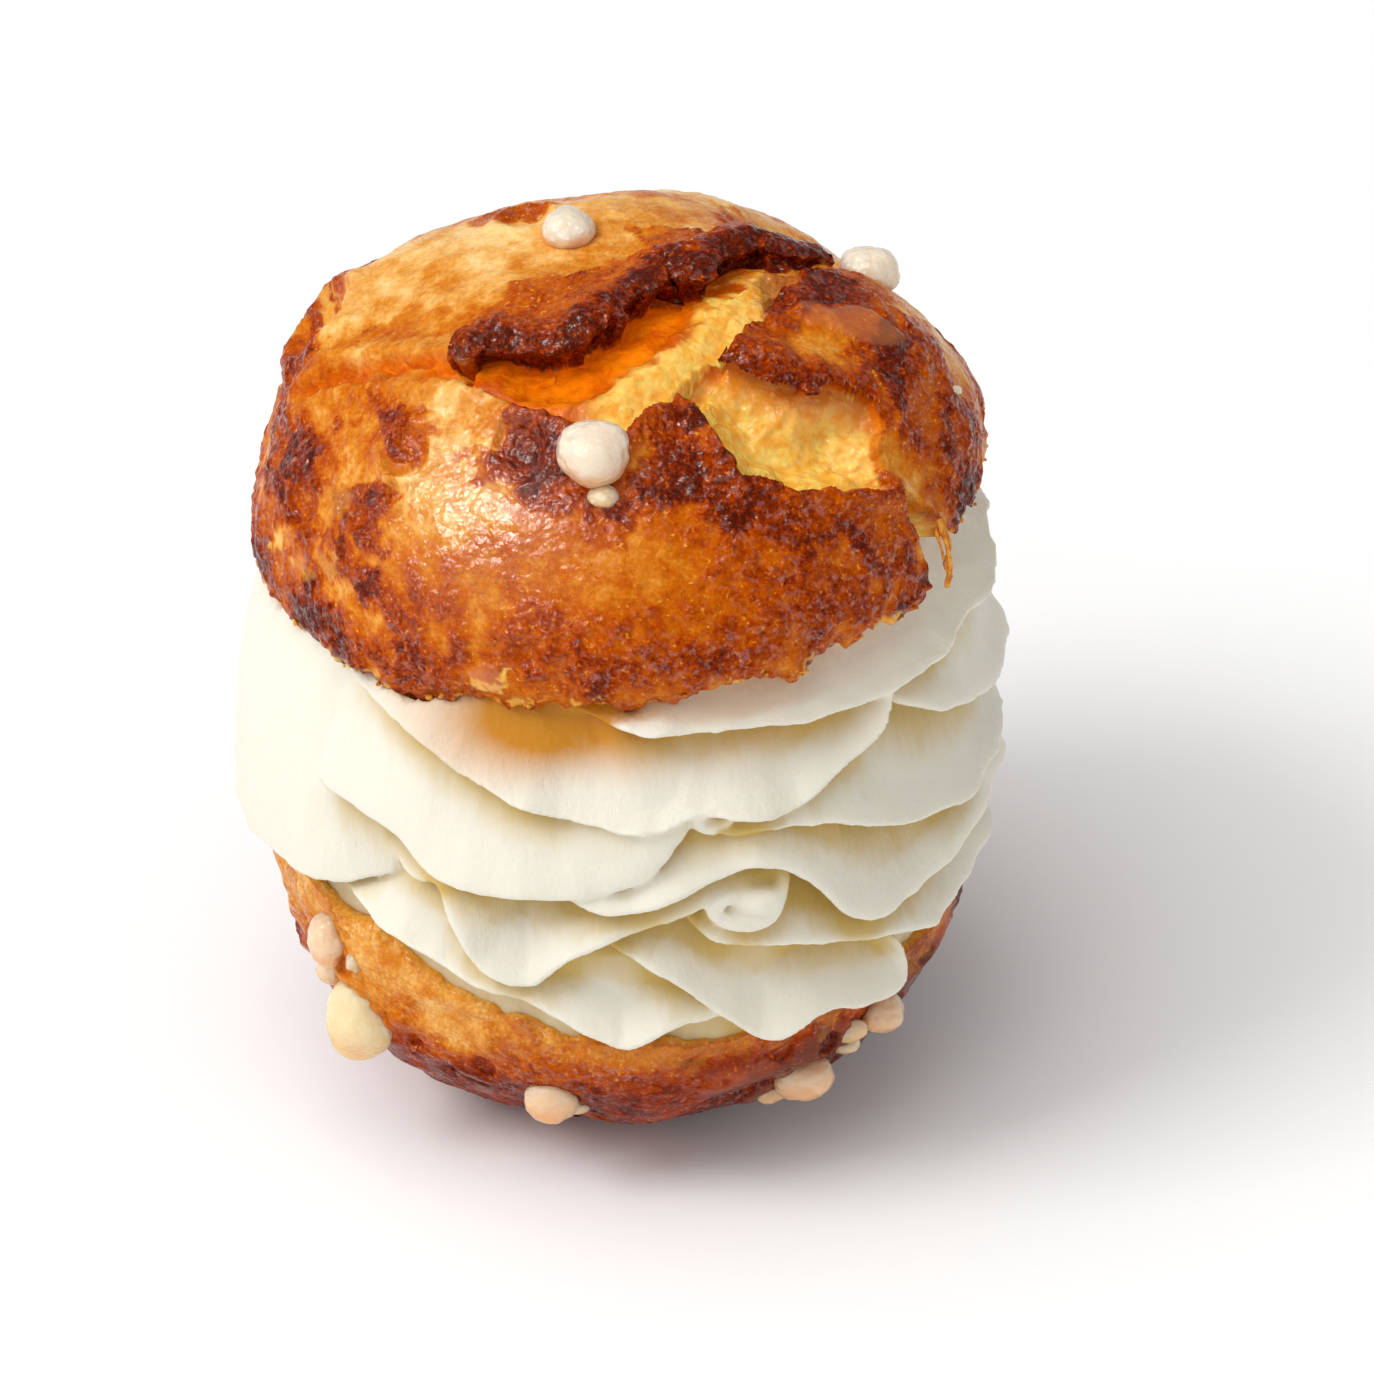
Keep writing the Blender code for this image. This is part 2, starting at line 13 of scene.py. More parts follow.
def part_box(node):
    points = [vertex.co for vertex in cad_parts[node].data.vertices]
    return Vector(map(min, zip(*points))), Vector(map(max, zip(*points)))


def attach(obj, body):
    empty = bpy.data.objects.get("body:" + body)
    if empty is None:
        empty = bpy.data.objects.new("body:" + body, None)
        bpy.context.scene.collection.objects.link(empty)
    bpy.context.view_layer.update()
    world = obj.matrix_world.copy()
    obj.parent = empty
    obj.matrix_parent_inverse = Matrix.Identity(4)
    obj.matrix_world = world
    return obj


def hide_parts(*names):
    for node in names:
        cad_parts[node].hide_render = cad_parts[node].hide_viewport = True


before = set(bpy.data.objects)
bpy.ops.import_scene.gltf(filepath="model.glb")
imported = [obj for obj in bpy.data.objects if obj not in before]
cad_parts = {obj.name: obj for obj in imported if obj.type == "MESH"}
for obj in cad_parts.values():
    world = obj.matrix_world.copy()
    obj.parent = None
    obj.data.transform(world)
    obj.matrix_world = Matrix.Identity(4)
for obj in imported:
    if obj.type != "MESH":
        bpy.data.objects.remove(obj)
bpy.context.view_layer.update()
MM = 0.001

# ---- Sizes, as on the solids -----------------------------------------------------------------------------------------

BASE_WALL = [(0.0, 12.6), (1.0, 14.6), (2.5, 17.2), (4.5, 19.8), (8.0, 23.4), (12.0, 25.9), (16.0, 27.1), (20.0, 27.8),
             (27.0, 28.1)]
BASE_SPREAD = 2.6
BASE_RIM = [(-180, 20.0), (-110, 22.5), (-70, 24.8), (-45, 23.6), (-22, 20.0), (-5, 17.6), (22, 17.0), (50, 17.6),
            (65, 19.2), (85, 21.8), (120, 20.8), (180, 20.0)]
BASE_FLOOR = 14.6
CREAM_RADIUS = 30.0
CREAM_CORE_RADIUS = 25.0
CREAM_TOP = 49.0
CAP_AXES = (28.6, 28.3, 20.0)
CAP_CENTRE = (0.5, 0.5, 50.0)
CAP_TILT = (-2.0, -6.0)
CAP_QUARTER = 38.8
CAP_RIM_ANGLE = 96.0
CAP_TORN_SHORT = 8.5

# Outlines on the dome, as lengths over the crust from its pole: x to the right, y away from the front.
LIP = [(-9.6, -9.0), (-8.3, -9.8), (-7.1, -9.2), (-3.4, -10.4), (-1.0, -9.7), (0.7, -7.8), (2.4, -5.5), (3.6, -3.9),
       (4.5, -2.3), (5.5, -3.6), (7.2, -3.4), (8.1, -0.9), (10.1, 1.6), (11.4, 0.9), (13.6, 2.1), (15.7, 4.1)]
LIP_BACK = [(14.6, 11.0), (13.1, 12.0), (9.9, 7.8), (7.4, 2.8), (4.5, 3.5), (1.7, 3.3), (3.2, 0.3), (0.7, -1.2),
            (-2.6, -3.0), (-5.5, -2.3), (-7.8, -6.3), (-9.2, -8.2)]
VALLEY_FRONT = [(14.5, 1.2), (12.4, 0.1), (10.7, -0.3), (9.7, -2.9), (8.0, -6.3), (6.1, -9.8), (3.4, -12.1),
                (1.4, -13.8), (-1.1, -14.8), (-3.7, -14.8), (-6.7, -13.1), (-8.8, -10.9)]
PLATE_EDGE = [(-12.6, -7.9), (-8.8, -10.9), (-6.8, -13.6), (-2.8, -16.2), (1.0, -19.2), (2.3, -17.2), (5.1, -14.6),
              (6.8, -14.9), (7.6, -16.8), (8.4, -19.0), (10.0, -20.9), (14.1, -21.4), (17.8, -20.8), (22.8, -18.6)]
WINDOW_LEDGE = [(7.6, -10.6), (9.4, -11.6), (12.4, -12.4), (13.9, -12.7), (15.4, -11.7), (17.1, -11.3), (19.3, -11.7),
                (20.5, -12.5)]
WINDOW_SIDE = [(20.5, -12.5), (21.0, -16.6), (22.8, -18.6)]
LEFT_CRACK = [(-8.8, -10.4), (-12.4, -8.0), (-15.8, -6.0), (-19.4, -4.0), (-22.5, -3.4)]
TEAR = [(22.6, -18.0), (25.6, -17.6), (30.5, -18.2), (36.5, -20.0), (37.5, -25.5), (33.0, -24.6), (29.0, -22.0),
        (24.6, -19.4)]
CAP_LUMPS = [(-16.0, 6.0, 11.0, 1.9), (2.0, 9.0, 9.0, 1.0), (20.0, -2.0, 8.0, 0.8), (-6.0, -28.0, 12.0, 0.5),
             (14.5, 9.5, 4.5, -2.4), (24.0, 13.0, 9.0, -1.6), (37.0, -4.0, 14.0, -0.6)]

# How the browning of the crust departs from its middle tone: x, y, half-widths, turn in degrees, change.
CAP_TONES = [
    (-13.6, -14.2, 2.4, 3.2, 10, 0.34), (-19.2, -17.6, 1.9, 4.4, 15, 0.36), (-20.6, -23.6, 1.5, 4.6, 14, 0.34),
    (-25.6, -12.4, 3.4, 6.6, -10, 0.22), (-26.6, -5.6, 3.6, 4.6, 0, 0.28), (-17.6, -30.6, 5.8, 4.2, 25, 0.16),
    (-22.6, -9.6, 3.0, 1.6, -30, 0.24), (-28.4, -19.8, 1.8, 4.6, 22, 0.28), (-16.2, -10.6, 3.0, 1.2, -20, 0.20),
    (-24.6, -32.0, 3.6, 3.2, 35, 0.14), (-8.2, -34.2, 4.4, 3.4, 10, 0.16), (-1.4, -34.6, 4.2, 2.2, 0, 0.14),
    (1.4, -37.4, 5.0, 2.2, 0, 0.08), (6.4, -35.6, 4.4, 2.6, 0, 0.08), (12.0, -36.0, 4.4, 3.4, -10, 0.12),
    (18.0, -32.6, 4.4, 3.0, -20, 0.12), (22.8, -28.6, 4.4, 3.6, -35, 0.16), (22.4, -22.4, 4.8, 3.4, -25, 0.28),
    (28.6, -24.4, 3.6, 3.6, -40, 0.24), (16.0, -23.0, 4.6, 2.4, 0, 0.24), (12.0, -27.0, 9.0, 6.0, -25, 0.12),
    (24.4, -8.6, 4.6, 7.0, 20, 0.30), (31.4, -11.0, 3.6, 7.4, 15, 0.32), (35.6, -14.0, 3.0, 6.4, 15, 0.30),
    (-5.2, -18.4, 3.8, 2.8, -15, 0.42), (-3.4, -21.8, 3.0, 2.2, 20, 0.32), (-0.4, -24.2, 3.2, 2.0, 0, 0.16),
    (4.8, -18.6, 3.2, 4.0, 20, 0.44), (6.0, -15.8, 1.3, 1.8, 0, 0.50), (8.8, -21.8, 3.6, 2.4, -20, 0.34),
    (2.2, -22.8, 3.0, 2.2, 0, 0.26), (-19.4, 7.6, 4.0, 2.6, 50, 0.28), (-24.0, 2.0, 3.4, 5.0, 20, 0.20),
    (-6.4, 8.8, 2.8, 1.6, 0, 0.40), (0.6, 10.6, 4.4, 1.6, 5, 0.20), (11.4, 8.6, 4.6, 3.6, 40, 0.42),
    (13.4, -1.8, 4.4, 3.8, 10, 0.34), (18.6, -1.8, 5.6, 4.4, 0, 0.28), (11.6, -7.0, 3.0, 2.8, 0, 0.26),
    (20.4, -7.6, 3.6, 3.0, 0, 0.32), (-31.6, -22.6, 3.6, 6.0, 35, 0.30), (-34.4, -9.0, 2.8, 7.0, 10, 0.24),
    (-29.4, -28.0, 3.4, 2.8, 45, 0.30), (-2.0, -5.4, 6.0, 3.2, 25, 0.20), (-12.0, -3.6, 5.0, 2.0, -25, 0.22),
    (-13.0, 2.0, 8.5, 7.0, 0, -0.20), (0.0, 7.0, 12.0, 6.0, 10, -0.22), (9.0, 14.0, 8.0, 4.0, 0, -0.18),
    (-11.4, -19.6, 4.6, 5.4, 0, -0.14), (-9.4, -12.0, 5.0, 1.9, 15, -0.24), (-20.0, -10.4, 3.4, 2.8, 0, -0.10),
    (-15.4, -18.0, 1.2, 1.4, 0, -0.30), (2.6, -28.4, 6.6, 2.4, 10, -0.07), (8.0, 4.2, 2.4, 1.6, 20, -0.15),
    (13.4, 4.6, 2.6, 1.6, 10, -0.22), (26.0, 1.6, 4.0, 3.0, 0, -0.12), (-28.6, -18.0, 1.6, 5.0, 25, -0.18),
    (-24.4, -23.4, 1.7, 4.4, 20, -0.16), (-31.6, -12.6, 1.8, 1.8, 0, -0.34),
    (-20.0, 22.0, 8.0, 5.0, 30, 0.22), (-6.0, 29.0, 9.0, 4.0, 0, 0.24), (15.0, 26.0, 8.0, 5.0, -30, 0.22),
    (30.0, 12.0, 5.0, 8.0, 0, 0.20), (-33.0, 9.0, 4.0, 9.0, -10, 0.24), (4.0, 36.0, 10.0, 3.4, 0, 0.28),
    (-24.0, 32.0, 6.0, 4.0, 40, 0.28), (27.0, 28.0, 7.0, 3.6, -45, 0.28), (36.0, 6.0, 3.0, 7.0, 0, 0.26),
    (2.0, 19.0, 9.0, 3.0, 0, -0.12), (-22.0, 14.0, 5.0, 4.0, 0, -0.14), (20.0, 18.0, 4.0, 4.0, 0, -0.12),
]
# Yellow places where the skin has opened: x, y, half-widths, turn, strength.
CAP_GOLDS = [
    (-10.6, -11.2, 3.4, 1.0, 10, 0.3), (-31.2, -12.6, 1.3, 1.1, 0, 0.6), (-20.4, 4.8, 2.4, 1.4, 60, 0.55),
    (-4.6, 6.2, 1.9, 1.2, 0, 0.9), (-6.6, -16.8, 0.9, 0.7, 0, 0.6), (-15.2, -18.0, 0.9, 1.1, 0, 0.5),
    (-22.0, -14.4, 1.6, 3.0, 0, 0.35), (-24.2, -21.0, 1.2, 3.4, 15, 0.40), (-29.0, -17.0, 1.0, 4.0, 25, 0.35),
    (-13.3, -35.6, 1.2, 1.1, 0, 0.75), (-0.4, 8.0, 0.5, 0.5, 0, 0.8), (27.6, -5.0, 0.6, 0.6, 0, 0.7),
    (-20.0, 28.0, 2.0, 1.4, 0, 0.5), (18.0, 30.0, 2.4, 1.2, 0, 0.5), (-33.0, 14.0, 1.4, 3.0, 0, 0.5),
]
# Glossy places where sugar has melted into the crust: x, y, half-widths, turn, thickness.
CAP_GLAZES = [(18.3, -5.2, 3.6, 1.9, 8, 0.50), (14.6, -5.4, 1.6, 1.2, 0, 0.30), (-0.6, -22.2, 2.9, 1.5, 0, 0.10),
              (-0.6, -19.4, 3.5, 3.3, 0, 0.12), (-13.3, -35.8, 1.5, 1.6, 0, 0.50), (19.4, 5.0, 3.4, 2.6, 0, 0.12),
              (3.8, 26.4, 3.4, 2.6, 0, 0.12)]
# Craters of burst blisters: x, y, radius, depth.
CAP_CRATERS = [(-13.8, -15.4, 2.1, 0.9), (-5.6, -18.0, 2.4, 0.8), (-15.4, -18.2, 1.2, 0.6), (-20.6, 4.2, 3.6, 1.6),
               (-19.2, -18.6, 1.3, 0.4), (12.0, -5.0, 1.4, 0.5), (-8.0, -34.6, 1.8, 0.4),
               (-25.6, -13.4, 2.0, 0.5), (-4.8, 6.4, 2.0, 0.7), (22.5, -6.0, 1.5, 0.4), (-22.0, 26.0, 2.4, 0.7),
               (16.0, 24.0, 2.2, 0.6), (30.0, 14.0, 2.0, 0.5), (-30.0, 4.0, 2.2, 0.6)]

# ---- Numbers ---------------------------------------------------------------------------------------------------------


def smoothstep(low, high, value):
    t = np.clip((value - low) / (high - low), 0.0, 1.0)
    return t * t * (3.0 - 2.0 * t)


def lattice(ix, iy, iz, seed):
    """A repeatable number from -1 to 1 for each whole-number place."""
    n = (ix * 73856093) ^ (iy * 19349663) ^ (iz * 83492791) ^ (seed * 2654435761)
    n = (n ^ (n >> 13)) * 1274126177
    n = (n ^ (n >> 16)) & 0xFFFFFF
    return n / float(0x7FFFFF) - 1.0


def noise(points, size, seed):
    """Smooth noise from -1 to 1 with lumps of about this size."""
    points = np.asarray(points, float)
    if points.shape[-1] == 2:
        points = np.concatenate([points, np.zeros(points.shape[:-1] + (1,))], axis=-1)
    q = points / size + 1000.0
    i = np.floor(q).astype(np.int64)
    f = q - i
    f = f * f * f * (f * (6.0 * f - 15.0) + 10.0)
    total = 0.0
    for dx in (0, 1):
        wx = f[..., 0] if dx else 1.0 - f[..., 0]
        for dy in (0, 1):
            wy = f[..., 1] if dy else 1.0 - f[..., 1]
            for dz in (0, 1):
                wz = f[..., 2] if dz else 1.0 - f[..., 2]
                total = total + wx * wy * wz * lattice(i[..., 0] + dx, i[..., 1] + dy, i[..., 2] + dz, seed)
    return total


def layered(points, size, seed, octaves=3, gain=0.5):
    total, weight = 0.0, 1.0
    for octave in range(octaves):
        total = total + weight * noise(points, size / 2.0**octave, seed + 17 * octave)
        weight *= gain
    return total


def to_line(points, line):
    """Shortest distance from each point to a line of straight pieces, and the step that leads there."""
    ends = np.asarray(line, float)
    nearest = np.full(len(points), np.inf)
    step = np.zeros((len(points), 2))
    for a, b in zip(ends[:-1], ends[1:]):
        along = np.clip((points - a) @ (b - a) / ((b - a) @ (b - a)), 0.0, 1.0)
        way = a + along[:, None] * (b - a) - points
        far = np.linalg.norm(way, axis=1)
        closer = far < nearest
        nearest = np.where(closer, far, nearest)
        step[closer] = way[closer]
    return nearest, step / np.maximum(nearest, 1e-6)[:, None]


def inside_outline(points, outline):
    corners = np.asarray(outline, float)
    held = np.zeros(len(points), bool)
    for a, b in zip(corners, np.roll(corners, -1, axis=0)):
        crosses = (a[1] > points[:, 1]) != (b[1] > points[:, 1])
        rise = 1.0 if b[1] == a[1] else b[1] - a[1]
        held ^= crosses & (points[:, 0] < a[0] + (points[:, 1] - a[1]) * (b[0] - a[0]) / rise)
    return held


def waves(angle, terms):
    return sum(height * np.cos(np.radians(count * angle - phase)) for count, height, phase in terms)


def around(angle, radius, height):
    turn = np.radians(angle)
    return np.stack(np.broadcast_arrays(radius * np.sin(turn), -radius * np.cos(turn), height + 0.0 * turn), axis=-1)


def patches(points, table, seed, rag=1.3):
    """Yields each patch of a table: its number and how strongly each point lies in it; noise makes the edges uneven."""
    moved = points + rag * np.stack([layered(points, 3.6, seed, 5, 0.66), layered(points, 3.6, seed + 5, 5, 0.66)], axis=1)
    for x, y, wide, tall, turn, amount in table:
        c, s = np.cos(np.radians(turn)), np.sin(np.radians(turn))
        dx, dy = moved[:, 0] - x, moved[:, 1] - y
        far = np.hypot((c * dx + s * dy) / wide, (-s * dx + c * dy) / tall)
        yield amount, 0.4 * smoothstep(1.35, 0.45, far) + 0.6 * smoothstep(1.1, 0.8, far)


def strongest(found, count):
    held = np.zeros(count)
    for amount, inside in found:
        held = np.maximum(held, amount * inside)
    return held


# ---- Meshes ----------------------------------------------------------------------------------------------------------


def mesh_from(name, verts, faces, masks=None):
    mesh = bpy.data.meshes.new(name)
    mesh.from_pydata((verts * MM).tolist(), [], faces)
    for mask, values in (masks or {}).items():
        mesh.attributes.new(mask, "FLOAT", "POINT").data.foreach_set("value", np.asarray(values, np.float32))
    mesh.shade_smooth()
    return mesh


def closed_grid(rings, start, end):
    """Vertices and faces of a closed skin from rings (rows x segments x 3) and a point past each end."""
    rows, count = rings.shape[:2]
    verts = np.vstack([rings.reshape(-1, 3), start, end])
    i = np.arange(rows - 1)[:, None] * count + np.arange(count)[None, :]
    j = np.arange(rows - 1)[:, None] * count + (np.arange(count)[None, :] + 1) % count
    quads = np.stack([i, j, j + count, i + count], axis=-1).reshape(-1, 4)
    ring = np.arange(count)
    after = (ring + 1) % count
    top = np.stack([np.full(count, rows * count), after, ring], axis=1)
    last = (rows - 1) * count
    bottom = np.stack([np.full(count, rows * count + 1), last + ring, last + after], axis=1)
    return verts, quads.tolist() + top.tolist() + bottom.tolist()


def place(name, mesh, look):
    obj = bpy.data.objects.new(name, mesh)
    bpy.context.scene.collection.objects.link(obj)
    mesh.materials.clear()
    mesh.materials.append(look)
    return obj


def bake(obj):
    graph = bpy.context.evaluated_depsgraph_get()
    mesh = bpy.data.meshes.new_from_object(obj.evaluated_get(graph))
    obj.modifiers.clear()
    old, obj.data = obj.data, mesh
    bpy.data.meshes.remove(old)


def vertices(mesh):
    flat = np.empty(len(mesh.vertices) * 3)
    mesh.vertices.foreach_get("co", flat)
    return flat.reshape(-1, 3) / MM


def set_vertices(mesh, points):
    mesh.vertices.foreach_set("co", (points * MM).ravel())
    mesh.update()


def uneven_angles(front_count, back_count, half_front):
    """Angles all the way round, closer together within half_front degrees of the front."""
    front = np.linspace(-half_front, half_front, front_count, endpoint=False)
    back = np.linspace(half_front, 360.0 - half_front, back_count, endpoint=False)
    angles = np.concatenate([front, back])
    return np.where(angles > 180.0, angles - 360.0, angles)


def ball(levels):
    shape = bmesh.new()
    bmesh.ops.create_icosphere(shape, subdivisions=levels, radius=1.0)
    verts = np.array([v.co[:] for v in shape.verts])
    faces = [[v.index for v in f.verts] for f in shape.faces]
    shape.free()
    return verts, faces


BALL = ball(5)


# ---- The cap ---------------------------------------------------------------------------------------------------------


def cap_matrix():
    tilt = Euler((np.radians(CAP_TILT[0]), np.radians(CAP_TILT[1]), 0.0), "XYZ")
    return np.array(tilt.to_matrix()), np.array(CAP_CENTRE)


def cap_relief(points):
    """Height of the crust over the plain dome, sideways slip of its torn lips, and its masks."""
    p = points
    q = p + 0.42 * np.stack([layered(p, 1.7, 3), layered(p, 1.7, 9)], axis=1)
    nearer = smoothstep(-1.0, 1.0, to_line(p, VALLEY_FRONT)[0] - to_line(p, LIP)[0])[:, None]
    r = q + nearer * (p + 0.42 * np.stack([layered(p, 2.0, 5, 4, 0.6), layered(p, 2.0, 11, 4, 0.6)], axis=1) - q)
    height = np.zeros(len(p))
    slip = np.zeros((len(p), 2))
    for x, y, radius, lift in CAP_LUMPS:
        height += lift * np.exp(-((p[:, 0] - x) ** 2 + (p[:, 1] - y) ** 2) / radius**2)
    height += 0.34 * noise(p, 7.5, 21) + 0.16 * noise(p, 3.1, 22)

    # The fissure: undercut and deep below the browned lip, rising towards the front.
    held = inside_outline(r, LIP + VALLEY_FRONT)
    from_lip, to_lip = to_line(r, LIP)
    from_front, _ = to_line(r, VALLEY_FRONT)
    share = from_lip / (from_lip + from_front + 1e-6)
    ends = smoothstep(0.0, 1.4, from_front)
    height -= held * smoothstep(0.0, 1.2, from_lip) * (0.5 + 3.3 * (1.0 - share) ** 1.3 * ends)
    lip_side = ~held & inside_outline(r, LIP + LIP_BACK)
    swell = 1.0 + 0.35 * noise(p, 3.4, 28)
    slim = 0.55 + 0.45 * smoothstep(-13.0, -7.0, p[:, 0])
    height += 1.1 * slim * swell * lip_side * np.exp(-(((from_lip - 1.3) / 1.5) ** 2))
    height += 0.62 * swell * held * smoothstep(0.8, 0.0, from_lip) + 0.10 * lip_side * noise(p, 1.2, 29)
    slip += (0.7 * lip_side * smoothstep(2.2, 0.0, from_lip))[:, None] * to_lip
    slip += (held * ends * (1.6 * smoothstep(0.1, 1.1, from_lip) * smoothstep(3.4, 1.2, from_lip)
                            - 0.7 * smoothstep(0.5, 0.0, from_lip)))[:, None] * to_lip
    floor = held * smoothstep(0.8, 1.2, from_lip)
    height += floor * 0.20 * layered(p, 2.2, 25)

    # The golden strip between the fissure and the torn edge of the front plate.
    strip = inside_outline(q, VALLEY_FRONT + PLATE_EDGE[:8]) & ~held
    from_plate, _ = to_line(q, PLATE_EDGE)
    height -= 0.9 * strip * smoothstep(0.0, 0.5, from_plate)
    height += 0.45 * strip * np.exp(-((from_front / 1.0) ** 2)) + 0.07 * strip * noise(p, 1.3, 26)

    # The window: a hollow with a dark ledge behind it and the plate's torn edge before it.
    outline = WINDOW_LEDGE + WINDOW_SIDE[1:] + PLATE_EDGE[-2:4:-1]
    window = inside_outline(q, outline)
    from_ledge, to_ledge = to_line(r, WINDOW_LEDGE)
    from_side, _ = to_line(q, WINDOW_SIDE)
    rim_near = np.minimum(np.minimum(from_ledge, from_side), from_plate)
    height -= window * (0.8 * smoothstep(0.0, 0.35, rim_near) + 2.0 * smoothstep(0.2, 3.6, rim_near))
    height += window * 0.07 * layered(p, 1.5, 31, 4, 0.6) * smoothstep(0.3, 1.5, rim_near)
    ledge = ~window & (from_ledge < 4.5) & ~held & ~strip
    nose = np.exp(-(((p[:, 0] - 10.5) / 4.5) ** 2))
    height += (0.6 + 1.5 * nose) * ledge * np.exp(-(((from_ledge - 1.1) / 1.7) ** 2))
    slip += ((0.5 + 0.9 * nose) * ledge * smoothstep(1.9, 0.0, from_ledge))[:, None] * to_ledge
    slip += (0.9 * window * smoothstep(1.7, 0.4, from_ledge) * nose)[:, None] * to_ledge
    plate_side = ~window & ~strip & ~held
    height += 0.85 * plate_side * np.exp(-(((from_plate - 0.5) / 1.1) ** 2))

    # The thin crack to the left, the torn place on the right, burst blisters, melted sugar.
    from_crack, _ = to_line(q, LEFT_CRACK)
    crack = np.exp(-((from_crack / 0.75) ** 2)) * (0.75 + 0.25 * noise(p, 2.0, 33))
    height += 0.6 * np.exp(-(((from_crack - 1.7) / 1.1) ** 2)) - 1.5 * crack
    tear = inside_outline(q, TEAR) * smoothstep(0.0, 0.6, to_line(q, TEAR + TEAR[:1])[0])
    height -= 2.6 * tear
    crater = np.zeros(len(p))
    for x, y, radius, depth in CAP_CRATERS:
        far = np.hypot(q[:, 0] - x, q[:, 1] - y) / radius
        height += depth * (0.45 * np.exp(-(((far - 1.15) / 0.25) ** 2)) - np.clip(1.0 - far**2, 0.0, 1.0))
        crater = np.maximum(crater, smoothstep(1.05, 0.6, far))
    glaze = strongest(patches(p, CAP_GLAZES, 38, 0.3), len(p))
    height += glaze
    glaze = np.clip(glaze / 0.5, 0.0, 1.0)

    fall = np.hypot(p[:, 0], p[:, 1]) / CAP_QUARTER * 90.0
    near_rim = smoothstep(60.0, 80.0, fall + 8.0 * layered(p, 4.0, 46))
    lively = np.maximum(smoothstep(-12.0, -20.0, p[:, 0]) * smoothstep(8.0, 0.0, p[:, 1]), near_rim)
    streaks = 1.0 - 2.0 * np.abs(noise(p * (1.0, 0.55), 2.4, 47))
    even = np.exp(-(((p[:, 0] - 4.0) / 15.0) ** 4) - ((p[:, 1] + 30.0) / 8.0) ** 4)
    tone = 0.38 + 0.08 * even + (0.10 - 0.07 * even) * layered(p, 5.0, 43)
    tone += (0.07 + 0.06 * lively - 0.03 * even) * layered(p, 1.6, 44, 4, 0.65)
    tone += lively * (0.05 + 0.10 * streaks * (1.0 - 0.6 * even))
    for amount, inside in patches(p, CAP_TONES, 41):
        tone = tone + amount * inside
    roll = lip_side * (0.12 + 0.30 * smoothstep(3.0, 0.6, from_lip) + 0.16 * layered(p, 1.3, 27, 4, 0.65))
    roll += 0.20 * lip_side * np.exp(-(((from_lip - 0.8) / 0.7) ** 2))
    roll *= 0.6 + 0.4 * smoothstep(-14.0, -9.0, p[:, 0])
    roll = np.maximum(roll, 0.50 * held * smoothstep(1.15, 0.9, from_lip))
    burned_edge = plate_side * smoothstep(2.2, 0.2, from_plate) * smoothstep(-5.0, 1.0, p[:, 0])
    burned_ledge = ledge * smoothstep(2.6, 0.4, from_ledge) * (0.7 + 0.3 * nose)
    tone = np.where(lip_side | held, np.maximum(tone, 0.40 + roll), tone)
    burn = 0.34 * burned_edge + 0.52 * burned_ledge
    tone = np.maximum(tone, burn + 0.36 * smoothstep(0.0, 0.2, burn) * (1.0 + 0.17 * layered(p, 1.2, 45)))
    tone = np.clip(tone + 0.10 * smoothstep(80.0, 90.0, fall), 0.02, 0.98)
    crumb = smoothstep(91.5, 95.0, fall + 2.6 * layered(p, 2.0, 51, 4, 0.6))

    fade = smoothstep(12.0, 6.0, p[:, 0] + 0.3 * p[:, 1])
    left = smoothstep(1.5, -3.5, p[:, 0])
    gold = np.maximum(strongest(patches(p, CAP_GOLDS, 61), len(p)), strip * (0.35 + 0.50 * fade) * (1.0 - 0.9 * left))
    gold = np.maximum(gold, window * smoothstep(0.0, 0.5, rim_near))
    gold = np.maximum(gold, np.maximum(tear, 0.6 * crumb * smoothstep(0.05, 0.5, layered(p, 2.6, 53))))
    inwards = from_front + 0.8 * layered(p, 1.9, 52, 4, 0.6)
    gold = np.maximum(gold, 0.75 * floor * smoothstep(1.8, 0.1, inwards) * (1.0 - left))
    # Painted shade and glow: a deep orange in the fissure's floor, along the strip's left end, in the thin crack, in a
    # blister hollow and in the band under the ledge; partly the crust's own deep orange, partly painted shade under the
    # overhangs and painted glow of light through the thin crust.
    orange_shade_and_glow = floor * np.maximum(smoothstep(-0.2, 2.2, inwards), left)
    orange_shade_and_glow = np.maximum(orange_shade_and_glow, 0.8 * strip * left)
    orange_shade_and_glow = np.maximum(orange_shade_and_glow, 0.75 * np.exp(-((from_crack / 0.95) ** 2)))
    orange_shade_and_glow = np.maximum(orange_shade_and_glow, 0.6 * np.exp(-(((p[:, 0] + 20.3) / 1.6) ** 2) - ((p[:, 1] - 4.0) / 2.4) ** 2))
    orange_shade_and_glow = np.maximum(orange_shade_and_glow, 0.6 * window * smoothstep(3.2, 0.3, from_ledge))
    # Painted glow: the fissure's floor away from the lip is made to give out light, standing in for light shining
    # through its thin roof.
    painted_emission = floor * smoothstep(0.85, 0.2, share)
    rough = np.clip((tone - 0.45) / 0.3, 0.0, 1.0) * (1.0 - orange_shade_and_glow) * (1.0 - glaze)
    grain = 0.045 + 0.05 * rough + 0.05 * gold + 0.10 * crumb
    height += rough * 0.13 * (1.0 - 2.0 * np.abs(noise(p, 1.7, 74))) + 0.12 * smoothstep(0.3, 0.7, rough)
    height += 0.05 * (1.0 - 2.0 * np.abs(noise(p, 1.5, 75))) * (1.0 - gold)
    height += (1.0 - glaze) * grain * (noise(p, 1.05, 71) + 0.8 * noise(p, 0.55, 72))
    return height, slip, {"tone": tone, "gold": gold, "orange_shade_and_glow": orange_shade_and_glow, "glaze": glaze, "rough": rough, "painted_emission": painted_emission,
                          "wet": np.exp(-((p[:, 0] + 8.5) ** 2 + (p[:, 1] + 22.0) ** 2) / 7.5**2)}


